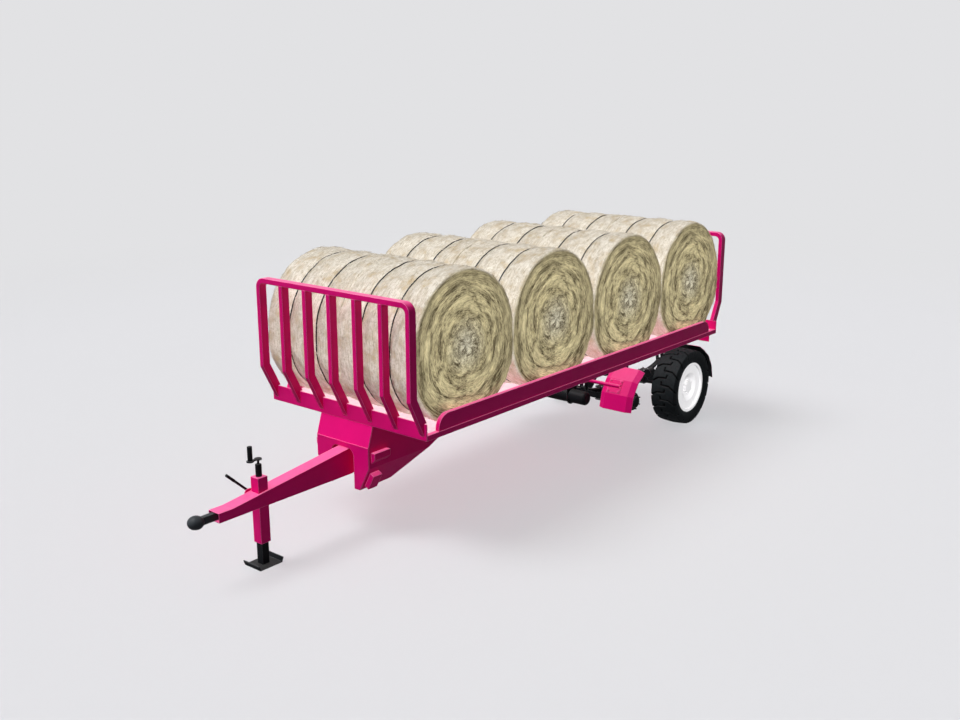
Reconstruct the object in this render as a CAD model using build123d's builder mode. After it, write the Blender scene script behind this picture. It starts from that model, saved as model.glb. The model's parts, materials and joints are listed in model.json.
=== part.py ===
from build123d import *

import os
from math import atan2, cos, degrees, hypot, radians, sin, sqrt, tan

# Bale trailer in millimetres. X runs forward along the drawbar, Y to the trailer's left, Z up.
# The ground is Z = 0 and the origin lies under the middle of the overall box.

# Deck
deck_length = 6600
deck_width = 2500
rail_bottom = 1320
rail_size = 60
rail_wall = 5
deck_plate_thickness = 6
cross_member_width = 50
cross_member_wall = 5
cross_member_count = 9
longeron_y = 348
longeron_depth = 220
longeron_flange_width = 120
longeron_flange_thickness = 11
longeron_web_thickness = 8

# End gates
gate_inset = 35
gate_lean_length = 205
gate_foot_height = 45
gate_kink_height = 460
gate_height = 1526
gate_tube_depth = 100
gate_tube_width = 60
gate_corner_radius = 120
gate_bar_count = 5
toe_board_height = 190
toe_board_thickness = 10

# Side boards
side_board_height = 180
side_board_wall = 4
side_board_set_back = 6
side_board_front_gap = 205
side_board_rear_gap = 230
side_board_end_radius = 160

# Headstock, measured from the deck's front edge and from the underside of its rails
headstock_half_width = 420
headstock_plate_thickness = 12
headstock_top_set_back = 15
headstock_fold_reach = 65
headstock_fold_drop = 250
headstock_skirt_drop = 495
headstock_foot_drop = 780
headstock_foot_half_width = 268
headstock_web_length = 1600
skirt_length = 1000
skirt_kink_length = 480
skirt_kink_share = 0.95
arch_half_width = 182
arch_top_drop = 310
arch_corner_radius = 90
pad_set_back = 44
pad_length = 250
pad_height = 120
pad_drop = 310
pad_thickness = 60
pad_corner_radius = 65
pad_bevel_width = 45
block_set_back = 60
block_length = 137
block_top_drop = 82
block_height = 195
block_thickness = 64

# Drawbar
drawbar_width = 170
drawbar_wall = 8
drawbar_tip_reach = 1860
drawbar_tip_length = 180
drawbar_tip_drop = 530
drawbar_bottom_drop = 635
drawbar_top_drop = 318
pivot_set_back = 520
pivot_drop = 380
pivot_radius = 60
pivot_wall = 10
pivot_boss_radius = 95
fit_gap = 0.3

# Coupling
coupling_reach = 2169
coupling_radius = 86
coupling_dome_height = 73
coupling_drop = 576
coupling_cut_height = 55
ball_socket_radius = 40.4
shank_width = 60
shank_height = 80

# Jack
jack_reach = 1265
jack_tube_size = 125
jack_tube_wall = 8
jack_tube_top_drop = 317
jack_tube_bottom_drop = 1060
jack_leg_size = 90
jack_leg_wall = 8
jack_leg_top = 740
jack_guide_length = 40
jack_foot_length = 296
jack_foot_width = 260
jack_foot_thickness = 12
jack_foot_lip_length = 60
jack_foot_lip_angle = 68
jack_sleeve_radius = 34
jack_sleeve_height = 137
jack_sleeve_edge_radius = 8
crank_neck_radius = 13
crank_neck_height = 48
crank_disc_radius = 40
crank_arm_length = 102
crank_arm_thickness = 14
crank_arm_width = 36
crank_grip_radius = 27
crank_grip_height = 158
crank_grip_edge_radius = 8

# Parking brake lever
lever_gap = 75
lever_drop = 482
lever_length = 350
lever_angle = 43
lever_width = 26
lever_thickness = 12
lever_grip_radius = 16
lever_grip_length = 120
lever_plate_size = 110
lever_plate_corner_radius = 45
lever_plate_thickness = 10
lever_pin_radius = 10

# Running gear
axle_spacing = 1190
tandem_set_back = 5425
axle_height = 570
axle_size = 100
front_flange_y = 900
rear_flange_y = 1090
stub_radius = 35
hub_barrel_length = 118
drum_length = 120
drum_gap = 12
drum_radius = 155
drum_wall_thickness = 16
brake_plate_radius = 136
brake_plate_thickness = 30
hub_radius = 76
hub_nose_length = 44
hub_flange_radius = 130
hub_flange_thickness = 22
hub_pilot_radius = 80
stud_count = 6
stud_circle = 205
stud_radius = 9
stud_length = 48
stud_clearance = 1

# Wheels
tyre_radius = 570
tyre_width = 400
wheel_y = 1000
tread_half_width = 186
tread_edge_drop = 14
bulge_radius = 476
bead_half_width = 160
rim_flange_radius = 378
rim_flange_width = 12
rim_barrel_radius = 340
rim_wall = 10
disc_thickness = 12
disc_bulge_depth = 40
disc_bulge_radius = 215
hub_cap_radius = 86
hub_cap_wall = 5

# Springs
spring_half_length = 480
spring_width = 70
leaf_thickness = 12
leaf_count = 5
leaf_step_length = 85
spring_rise_height = 95
spring_eye_radius = 27
spring_pin_radius = 15
spring_seat_length = 120
spring_seat_height = 14
cheek_gap = 0.5
cheek_thickness = 10
hanger_top_length = 150
hanger_eye_radius = 34
rocker_pin_radius = 20
rocker_eye_radius = 36
rocker_drop = 60
clamp_plate_thickness = 14
clamp_rod_radius = 9
clamp_rod_gap = 3
brake_chamber_radius = 66
brake_chamber_length = 130
brake_chamber_y = 525
brake_chamber_lift_height = 95
brake_bracket_thickness = 12

# Air tank
tank_radius = 98
tank_half_length = 590
tank_set_back = 4090
tank_drop = 600
tank_end_radius = 45
tank_bracket_y = 318
tank_bracket_thickness = 12
tank_bracket_margin = 22

# Mudguards
guard_radius = 648
guard_first_angle = 3
guard_facet_angle = 20
guard_facets = 3
guard_thickness = 5
guard_inner_y = 700
guard_outer_y = 1222
guard_lip_width = 82
guard_lip_drop = 40
arm_radius = 26
arm_wall = 5
arm_facet = 1
arm_end_margin = 215
arm_plate_length = 150
arm_plate_thickness = 12
arm_saddle_length = 205
arm_saddle_width = 196
arm_saddle_thickness = 8

# Tail lamps
lamp_y = 1010
lamp_plate_width = 280
lamp_plate_height = 150
lamp_plate_thickness = 6
lamp_width = 230
lamp_height = 100
lamp_depth = 45
lamp_edge_radius = 12

# Bales
bale_rows = 4
bale_end_gap = 8
bale_side_gap = 10
bale_gap = 0.6
bale_press_height = 30
bale_flat_height = 12
bale_rim_width = 45
bale_rim_drop = 15

# Places worked out from the sizes above
front_x = (deck_length + gate_lean_length - coupling_reach) / 2
rear_x = front_x - deck_length
deck_top = rail_bottom + rail_size
half_width = deck_width / 2
inner_half_width = half_width - rail_size
end_beam_front = front_x - toe_board_thickness
end_beam_rear = rear_x + toe_board_thickness
longeron_bottom = rail_bottom - longeron_depth
longeron_edge = longeron_y + longeron_flange_width / 2
tandem_x = front_x - tandem_set_back
axle_x = {"front": tandem_x + axle_spacing / 2, "rear": tandem_x - axle_spacing / 2}
axle_top = axle_height + axle_size / 2
flange_y = {"front": front_flange_y, "rear": rear_flange_y}
drum_inset = hub_barrel_length + drum_length
brake_plate_inset = drum_inset + drum_gap
beam_inset = brake_plate_inset + brake_plate_thickness

os.makedirs("parts", exist_ok=True)


def save(piece, node):
    """Label a finished piece with its node's name and write it."""
    piece.part.label = node
    export_step(piece.part, f"parts/{node}.step")


# Deck: two square side rails, an end beam at each end, cross members and the plate they carry
with BuildPart() as side_rails:
    with BuildSketch(Plane.YZ.offset(end_beam_rear)):
        with Locations((half_width - rail_size / 2, rail_bottom + rail_size / 2)):
            Rectangle(rail_size, rail_size)
            Rectangle(rail_size - 2 * rail_wall, rail_size - 2 * rail_wall, mode=Mode.SUBTRACT)
    extrude(amount=deck_length - 2 * toe_board_thickness)
    mirror(about=Plane.XZ)
save(side_rails, "side_rails")

with BuildPart() as end_beams:
    for beam_x in (end_beam_front - rail_size / 2, end_beam_rear + rail_size / 2):
        with BuildSketch(Plane.XZ):
            with Locations((beam_x, rail_bottom + rail_size / 2)):
                Rectangle(rail_size, rail_size)
                Rectangle(rail_size - 2 * rail_wall, rail_size - 2 * rail_wall, mode=Mode.SUBTRACT)
        extrude(amount=inner_half_width, both=True)
save(end_beams, "end_beams")

plate_front = end_beam_front - rail_size
plate_rear = end_beam_rear + rail_size
cross_height = rail_size - deck_plate_thickness
cross_step = (plate_front - plate_rear) / (cross_member_count + 1)
with BuildPart() as cross_members:
    for i in range(cross_member_count):
        cross_x = plate_rear + (i + 1) * cross_step
        with BuildSketch(Plane.XZ):
            with Locations((cross_x, rail_bottom + cross_height / 2)):
                Rectangle(cross_member_width, cross_height)
            with Locations((cross_x + cross_member_wall, rail_bottom + cross_height / 2)):
                Rectangle(cross_member_width, cross_height - 2 * cross_member_wall, mode=Mode.SUBTRACT)
        extrude(amount=inner_half_width, both=True)
save(cross_members, "cross_members")

with BuildPart() as deck_plate:
    with BuildSketch(Plane.XY.offset(deck_top - deck_plate_thickness)):
        with Locations(((plate_front + plate_rear) / 2, 0)):
            Rectangle(plate_front - plate_rear, 2 * inner_half_width)
    extrude(amount=deck_plate_thickness)
save(deck_plate, "deck_plate")

with BuildPart() as longerons:
    with BuildSketch(Plane.YZ.offset(end_beam_rear)):
        with Locations((longeron_y, rail_bottom - longeron_flange_thickness / 2)):
            Rectangle(longeron_flange_width, longeron_flange_thickness)
        with Locations((longeron_y, longeron_bottom + longeron_flange_thickness / 2)):
            Rectangle(longeron_flange_width, longeron_flange_thickness)
        with Locations((longeron_y, rail_bottom - longeron_depth / 2)):
            Rectangle(longeron_web_thickness, longeron_depth)
    extrude(amount=plate_front - end_beam_rear)
    mirror(about=Plane.XZ)
save(longerons, "longerons")

# Side boards: folded boxes on the rails, open below, with quarter-round ends
with BuildPart() as side_boards:
    board_front = front_x - side_board_front_gap
    board_rear = rear_x + side_board_rear_gap
    with BuildSketch(Plane.XZ.offset(-inner_half_width)):
        with Locations(((board_front + board_rear) / 2, deck_top + side_board_height / 2)):
            Rectangle(board_front - board_rear, side_board_height)
        top_corners = vertices().group_by(Axis.Y)[-1]
        fillet(top_corners, min(side_board_end_radius, side_board_height - side_board_wall))
    extrude(amount=-(rail_size - side_board_set_back))
    offset(amount=-side_board_wall, openings=faces().sort_by(Axis.Z)[0])
    mirror(about=Plane.XZ)
save(side_boards, "side_boards")

# End gates: the tube slopes out from the deck's lower edge and kinks upright
lean_height = gate_kink_height - gate_foot_height
lean_slope = gate_lean_length / lean_height
kink_shift = gate_tube_depth * tan(atan2(gate_lean_length, lean_height) / 2)
gate_half_width = half_width - gate_inset
post_spacing = (2 * gate_half_width - gate_tube_width) / (gate_bar_count + 1)


def post_outline(top):
    """Side outline of an upright: reach beyond the deck's end, height above the rails' underside."""
    back = gate_lean_length - gate_tube_depth
    back_kink = gate_kink_height + kink_shift
    back_at_toe = back - (back_kink - toe_board_height) * lean_slope
    return [
        (0, gate_foot_height),
        (gate_lean_length, gate_kink_height),
        (gate_lean_length, top),
        (back, top),
        (back, back_kink),
        (back_at_toe, toe_board_height),
        (0, toe_board_height),
    ]


for end, end_x, outward in (("front", front_x, 1), ("rear", rear_x, -1)):
    with BuildPart() as hoop:
        post = [
            (end_x + outward * reach, rail_bottom + height)
            for reach, height in post_outline(gate_height)
        ]
        with BuildSketch(Plane.XZ.offset(-(gate_half_width - gate_tube_width))):
            Polygon(*post)
        extrude(amount=-gate_tube_width)
        mirror(about=Plane.XZ)
        bar_x = end_x + outward * (gate_lean_length - gate_tube_depth / 2)
        with BuildSketch(Plane.XZ):
            with Locations((bar_x, rail_bottom + gate_height - gate_tube_width / 2)):
                Rectangle(gate_tube_depth, gate_tube_width)
        extrude(amount=gate_half_width - gate_tube_width / 2, both=True)
        crosswise = hoop.edges().filter_by(Axis.X)
        fillet(crosswise.group_by(Axis.Z)[-1], gate_corner_radius)
        under_bar = hoop.faces().filter_by(Axis.Z).group_by(Axis.Z)[-2].edges()
        fillet(under_bar.filter_by(Axis.X), gate_corner_radius - gate_tube_width)
    save(hoop, f"{end}_gate_hoop")

    with BuildPart() as bars:
        bar = [
            (end_x + outward * reach, rail_bottom + height)
            for reach, height in post_outline(gate_height - gate_tube_width)
        ]
        for i in range(gate_bar_count):
            bar_y = (i - (gate_bar_count - 1) / 2) * post_spacing
            with BuildSketch(Plane.XZ.offset(-bar_y)):
                Polygon(*bar)
            extrude(amount=gate_tube_width / 2, both=True)
    save(bars, f"{end}_gate_bars")

    with BuildPart() as toe_board:
        with BuildSketch(Plane.XZ):
            with Locations((end_x - outward * toe_board_thickness / 2, rail_bottom + toe_board_height / 2)):
                Rectangle(toe_board_thickness, toe_board_height)
        extrude(amount=half_width, both=True)
    save(toe_board, f"{end}_toe_board")

# Headstock: welded plates that carry the drawbar's pivot under the front of the deck
fold_x = front_x + headstock_fold_reach
fold_z = rail_bottom - headstock_fold_drop
skirt_z = rail_bottom - headstock_skirt_drop
foot_z = rail_bottom - headstock_foot_drop
top_x = front_x - headstock_top_set_back

with BuildPart() as headstock_top:
    with BuildSketch(Plane.XZ):
        Polygon(
            (top_x, rail_bottom),
            (fold_x, fold_z),
            (fold_x - headstock_plate_thickness, fold_z),
            (top_x - headstock_plate_thickness, rail_bottom),
        )
    extrude(amount=headstock_half_width, both=True)
save(headstock_top, "headstock_top_plate")

with BuildPart() as headstock_front:
    with BuildSketch(Plane.YZ.offset(fold_x - headstock_plate_thickness)):
        Polygon(
            (-headstock_half_width, fold_z),
            (-headstock_half_width, skirt_z),
            (-headstock_foot_half_width, foot_z),
            (headstock_foot_half_width, foot_z),
            (headstock_half_width, skirt_z),
            (headstock_half_width, fold_z),
        )
        arch_top = rail_bottom - arch_top_drop
        arch_depth = arch_top - foot_z + arch_corner_radius
        with Locations((0, arch_top - arch_depth / 2)):
            RectangleRounded(2 * arch_half_width, arch_depth, arch_corner_radius, mode=Mode.SUBTRACT)
    extrude(amount=headstock_plate_thickness)
save(headstock_front, "headstock_front_plate")

skirt_run = headstock_half_width - headstock_foot_half_width
skirt_fall = headstock_foot_drop - headstock_skirt_drop
skirt_depth = hypot(skirt_run, skirt_fall)
skirt_plane = Plane(
    origin=(fold_x - headstock_plate_thickness, headstock_half_width, skirt_z),
    x_dir=(-1, 0, 0),
    z_dir=(0, -skirt_fall, skirt_run),
)
web_inner_y = headstock_half_width - headstock_plate_thickness
with BuildPart() as headstock_sides:
    with BuildSketch(Plane.XZ.offset(-web_inner_y)):
        Polygon(
            (top_x - headstock_plate_thickness, rail_bottom),
            (fold_x - headstock_plate_thickness, fold_z),
            (fold_x - headstock_plate_thickness, skirt_z),
            (fold_x - headstock_plate_thickness - skirt_length, skirt_z),
            (front_x - headstock_web_length, longeron_bottom),
            (front_x - headstock_web_length, rail_bottom),
        )
    extrude(amount=-headstock_plate_thickness)
    with BuildSketch(skirt_plane):
        Polygon(
            (0, 0),
            (0, skirt_depth),
            (skirt_kink_length, skirt_kink_share * skirt_depth),
            (skirt_length, 0),
        )
    extrude(amount=headstock_plate_thickness)
    mirror(about=Plane.XZ)
save(headstock_sides, "headstock_side_plates")

with BuildPart() as headstock_pads:
    pad_front = fold_x - pad_set_back
    pad_bottom = rail_bottom - pad_drop - pad_height
    pad_outer_y = headstock_half_width + pad_thickness
    with BuildSketch(Plane.XZ.offset(-headstock_half_width)):
        with Locations((pad_front - pad_length / 2, pad_bottom + pad_height / 2)):
            Rectangle(pad_length, pad_height)
        fillet(vertices().group_by(Axis.Y)[0].sort_by(Axis.X)[0], pad_corner_radius)
    extrude(amount=-pad_thickness)
    with BuildSketch(Plane.YZ.offset(pad_front - pad_length)):
        Polygon(
            (pad_outer_y, pad_bottom),
            (pad_outer_y, pad_bottom + pad_bevel_width),
            (pad_outer_y - pad_bevel_width, pad_bottom),
        )
    extrude(amount=pad_length, mode=Mode.SUBTRACT)
    with BuildSketch(skirt_plane):
        block_start = block_set_back - headstock_plate_thickness
        with Locations((block_start + block_length / 2, block_top_drop + block_height / 2)):
            Rectangle(block_length, block_height)
    extrude(amount=-block_thickness)
    mirror(about=Plane.XZ)
save(headstock_pads, "headstock_pads")

# Drawbar: a hollow tapered box whose rear eye sits on the headstock's cross tube
pivot_x = front_x - pivot_set_back
pivot_z = rail_bottom - pivot_drop
tip_x = front_x + drawbar_tip_reach
drawbar_bottom = rail_bottom - drawbar_bottom_drop
tip_top = rail_bottom - drawbar_tip_drop

with BuildPart() as pivot_tube:
    with BuildSketch(Plane.XZ):
        with Locations((pivot_x, pivot_z)):
            Circle(pivot_radius)
            Circle(pivot_radius - pivot_wall, mode=Mode.SUBTRACT)
    extrude(amount=web_inner_y, both=True)
save(pivot_tube, "drawbar_pivot_tube")

jack_x = front_x + jack_reach
with BuildPart() as drawbar:
    with BuildSketch(Plane.XZ):
        Polygon(
            (tip_x, drawbar_bottom),
            (tip_x, tip_top),
            (tip_x - drawbar_tip_length, tip_top),
            (front_x, rail_bottom - drawbar_top_drop),
            (pivot_x, pivot_z + pivot_boss_radius),
            (pivot_x, pivot_z - pivot_boss_radius),
            (front_x, drawbar_bottom),
        )
        with Locations((pivot_x, pivot_z)):
            Circle(pivot_boss_radius)
    extrude(amount=drawbar_width / 2, both=True)
    with BuildSketch(Plane.XZ):
        Polygon(
            (tip_x, drawbar_bottom + drawbar_wall),
            (tip_x, tip_top - drawbar_wall),
            (tip_x - drawbar_tip_length, tip_top - drawbar_wall),
            (front_x, rail_bottom - drawbar_top_drop - drawbar_wall),
            (pivot_x + pivot_boss_radius + drawbar_wall, pivot_z + pivot_boss_radius - drawbar_wall),
            (pivot_x + pivot_boss_radius + drawbar_wall, pivot_z - pivot_boss_radius + drawbar_wall),
            (front_x, drawbar_bottom + drawbar_wall),
        )
    extrude(amount=drawbar_width / 2 - drawbar_wall, both=True, mode=Mode.SUBTRACT)
    with BuildSketch(Plane.XZ):
        with Locations((pivot_x, pivot_z)):
            Circle(pivot_radius + fit_gap)
    extrude(amount=drawbar_width, both=True, mode=Mode.SUBTRACT)
    with BuildSketch(Plane.XY):
        with Locations((jack_x, 0)):
            Rectangle(jack_tube_size + 2 * fit_gap, jack_tube_size + 2 * fit_gap)
    extrude(amount=rail_bottom, mode=Mode.SUBTRACT)
save(drawbar, "drawbar")

# Coupling: a domed head with a ball socket below, on a square shank inside the drawbar's tip
with BuildPart() as coupling:
    coupling_x = front_x + coupling_reach - coupling_radius
    coupling_z = rail_bottom - coupling_drop
    shank_top = tip_top - drawbar_wall
    with BuildSketch(Plane.XZ):
        with Locations((coupling_x, coupling_z)):
            Ellipse(coupling_radius, coupling_dome_height)
        with Locations((coupling_x - coupling_radius / 2, coupling_z)):
            Rectangle(coupling_radius, 2 * coupling_dome_height, mode=Mode.SUBTRACT)
        with Locations((coupling_x, coupling_z - coupling_cut_height - coupling_radius / 2)):
            Rectangle(2 * coupling_radius, coupling_radius, mode=Mode.SUBTRACT)
    revolve(axis=Axis((coupling_x, 0, coupling_z), (0, 0, 1)))
    with BuildSketch(Plane.YZ.offset(tip_x - drawbar_tip_length)):
        with Locations((0, shank_top - shank_height / 2)):
            Rectangle(shank_width, shank_height)
    extrude(amount=coupling_x - tip_x + drawbar_tip_length - coupling_radius / 2)
    with BuildSketch(Plane.XY.offset(coupling_z - coupling_cut_height)):
        with Locations((coupling_x, 0)):
            Circle(ball_socket_radius)
    extrude(amount=coupling_cut_height, mode=Mode.SUBTRACT)
    with Locations((coupling_x, 0, coupling_z)):
        Sphere(ball_socket_radius, mode=Mode.SUBTRACT)
save(coupling, "coupling_head")

# Jack: a square tube through the drawbar, with the leg guided at two rings inside it
tube_top = rail_bottom - jack_tube_top_drop
tube_bottom = rail_bottom - jack_tube_bottom_drop
guide_size = jack_leg_size + 2 * fit_gap
with BuildPart() as jack_tube:
    with BuildSketch(Plane.XY.offset(tube_bottom)):
        with Locations((jack_x, 0)):
            Rectangle(jack_tube_size, jack_tube_size)
            Rectangle(guide_size, guide_size, mode=Mode.SUBTRACT)
    extrude(amount=tube_top - tube_bottom)
    inner_size = jack_tube_size - 2 * jack_tube_wall
    upper_guide_top = jack_leg_top - jack_guide_length
    relief_runs = (
        (tube_bottom + jack_guide_length, upper_guide_top - jack_guide_length),
        (upper_guide_top, tube_top - jack_tube_wall),
    )
    for run_bottom, run_top in relief_runs:
        with BuildSketch(Plane.XY.offset(run_bottom)):
            with Locations((jack_x, 0)):
                Rectangle(inner_size, inner_size)
        extrude(amount=run_top - run_bottom, mode=Mode.SUBTRACT)
    with BuildSketch(Plane.XY.offset(tube_top - jack_tube_wall)):
        with Locations((jack_x, 0)):
            Rectangle(jack_tube_size, jack_tube_size)
    extrude(amount=jack_tube_wall)
save(jack_tube, "jack_tube")

with BuildPart() as jack_leg:
    with BuildSketch(Plane.XY.offset(jack_foot_thickness)):
        with Locations((jack_x, 0)):
            Rectangle(jack_leg_size, jack_leg_size)
            hollow = jack_leg_size - 2 * jack_leg_wall
            Rectangle(hollow, hollow, mode=Mode.SUBTRACT)
    extrude(amount=jack_leg_top - jack_foot_thickness)
save(jack_leg, "jack_leg")

with BuildPart() as jack_foot:
    flat_half = jack_foot_length / 2
    lip_rise = jack_foot_lip_length * sin(radians(jack_foot_lip_angle))
    lip_tip = flat_half + jack_foot_lip_length * cos(radians(jack_foot_lip_angle))
    inner_tip = lip_tip - jack_foot_thickness * sin(radians(jack_foot_lip_angle))
    inner_rise = lip_rise + jack_foot_thickness * cos(radians(jack_foot_lip_angle))
    inner_half = flat_half - jack_foot_thickness * tan(radians(jack_foot_lip_angle / 2))
    with BuildSketch(Plane.XZ):
        Polygon(
            (jack_x - lip_tip, lip_rise),
            (jack_x - flat_half, 0),
            (jack_x + flat_half, 0),
            (jack_x + lip_tip, lip_rise),
            (jack_x + inner_tip, inner_rise),
            (jack_x + inner_half, jack_foot_thickness),
            (jack_x - inner_half, jack_foot_thickness),
            (jack_x - inner_tip, inner_rise),
        )
    extrude(amount=jack_foot_width / 2, both=True)
save(jack_foot, "jack_foot")

with BuildPart() as jack_sleeve:
    with BuildSketch(Plane.XY.offset(tube_top)):
        with Locations((jack_x, 0)):
            Circle(jack_sleeve_radius)
    extrude(amount=jack_sleeve_height)
    fillet(jack_sleeve.faces().sort_by(Axis.Z)[-1].edges(), jack_sleeve_edge_radius)
save(jack_sleeve, "jack_screw_sleeve")

# Crank: a neck on the screw, a flat arm with a disc at each end, and a grip that stands on the outer disc
with BuildPart() as jack_crank:
    neck_z = tube_top + jack_sleeve_height
    arm_z = neck_z + crank_neck_height
    with BuildSketch(Plane.XY.offset(neck_z)):
        with Locations((jack_x, 0)):
            Circle(crank_neck_radius)
    extrude(amount=crank_neck_height)
    with BuildSketch(Plane.XY.offset(arm_z)):
        with Locations((jack_x, 0), (jack_x + crank_arm_length, 0)):
            Circle(crank_disc_radius)
        with Locations((jack_x + crank_arm_length / 2, 0)):
            Rectangle(crank_arm_length, crank_arm_width)
    extrude(amount=crank_arm_thickness)
    with BuildSketch(Plane.XY.offset(arm_z + crank_arm_thickness)):
        with Locations((jack_x + crank_arm_length, 0)):
            Circle(crank_grip_radius)
    extrude(amount=crank_grip_height)
    fillet(jack_crank.faces().sort_by(Axis.Z)[-1].edges(), crank_grip_edge_radius)
save(jack_crank, "jack_crank")

# Parking brake lever on the drawbar's right side
lever_x = jack_x + lever_gap
lever_z = rail_bottom - lever_drop
side_y = -drawbar_width / 2
with BuildPart() as lever_bracket:
    plate_z = lever_z - lever_plate_size / 2 + lever_width
    with BuildSketch(Plane.XZ.offset(-side_y)):
        with Locations((lever_x, plate_z)):
            Rectangle(lever_plate_size, lever_plate_size)
        fillet(vertices().group_by(Axis.Y)[-1], lever_plate_corner_radius)
    extrude(amount=lever_plate_thickness)
    with BuildSketch(Plane.XZ.offset(-side_y + lever_plate_thickness)):
        with Locations((lever_x, lever_z)):
            Circle(lever_pin_radius)
    extrude(amount=lever_thickness)
save(lever_bracket, "brake_lever_bracket")

with BuildPart() as brake_lever:
    lever_plane = Plane(
        origin=(lever_x, side_y - lever_plate_thickness, lever_z),
        x_dir=(cos(radians(lever_angle)), 0, sin(radians(lever_angle))),
        z_dir=(0, -1, 0),
    )
    with BuildSketch(lever_plane):
        with Locations((lever_length / 2, 0)):
            SlotCenterToCenter(lever_length, lever_width)
        Circle(lever_pin_radius + fit_gap, mode=Mode.SUBTRACT)
    extrude(amount=lever_thickness)
    grip_plane = Plane(
        origin=lever_plane.from_local_coords((lever_length - lever_grip_length, 0, lever_thickness / 2)),
        x_dir=(0, 1, 0),
        z_dir=lever_plane.x_dir,
    )
    with BuildSketch(grip_plane):
        Circle(lever_grip_radius)
    extrude(amount=lever_grip_length + lever_width / 2)
save(brake_lever, "brake_lever")

# Axles: square beams with round stubs and brake back plates
for name, centre_x in axle_x.items():
    with BuildPart() as axle:
        with BuildSketch(Plane.XZ):
            with Locations((centre_x, axle_height)):
                Rectangle(axle_size, axle_size)
        extrude(amount=flange_y[name] - beam_inset, both=True)
        with BuildSketch(Plane.XZ):
            with Locations((centre_x, axle_height)):
                Circle(stub_radius)
        extrude(amount=flange_y[name] + hub_nose_length - drum_wall_thickness - fit_gap, both=True)
        for side in (-1, 1):
            with BuildSketch(Plane.XZ.offset(side * (flange_y[name] - brake_plate_inset))):
                with Locations((centre_x, axle_height)):
                    Circle(brake_plate_radius)
            extrude(amount=-side * brake_plate_thickness)
    save(axle, f"axle_{name}")

# Hubs: drum, barrel, wheel flange with studs and closed nose, turned about the axle line
side_names = (("left", 1), ("right", -1))
stud_places = [360 * (i + 0.5) / stud_count for i in range(stud_count)]
drum_inner_radius = drum_radius - drum_wall_thickness
hub_bore_radius = stub_radius + fit_gap
hub_outline = [
    # radius, distance out from the wheel's seat
    (drum_inner_radius, -drum_inset),
    (drum_radius, -drum_inset),
    (drum_radius, -hub_barrel_length),
    (hub_radius, -hub_barrel_length),
    (hub_radius, -hub_flange_thickness),
    (hub_flange_radius, -hub_flange_thickness),
    (hub_flange_radius, 0),
    (hub_pilot_radius, 0),
    (hub_pilot_radius, hub_nose_length),
    (0, hub_nose_length),
    (0, hub_nose_length - drum_wall_thickness),
    (hub_bore_radius, hub_nose_length - drum_wall_thickness),
    (hub_bore_radius, -drum_inset),
    (hub_radius, -drum_inset),
    (hub_radius, -hub_barrel_length - drum_wall_thickness),
    (drum_inner_radius, -hub_barrel_length - drum_wall_thickness),
]
for name, centre_x in axle_x.items():
    for side_name, side in side_names:
        wheel_plane = Plane(origin=(centre_x, 0, axle_height), x_dir=(1, 0, 0), z_dir=(0, 0, side))
        with BuildPart() as hub:
            with BuildSketch(wheel_plane):
                Polygon(*[(radius, flange_y[name] + out) for radius, out in hub_outline])
            revolve(axis=Axis((centre_x, 0, axle_height), (0, 1, 0)))
            with BuildSketch(Plane.XZ.offset(-side * flange_y[name])):
                with Locations((centre_x, axle_height)):
                    with PolarLocations(stud_circle / 2, stud_count, start_angle=stud_places[0]):
                        Circle(stud_radius)
            extrude(amount=-side * stud_length)
        save(hub, f"hub_{name}_{side_name}")

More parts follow.
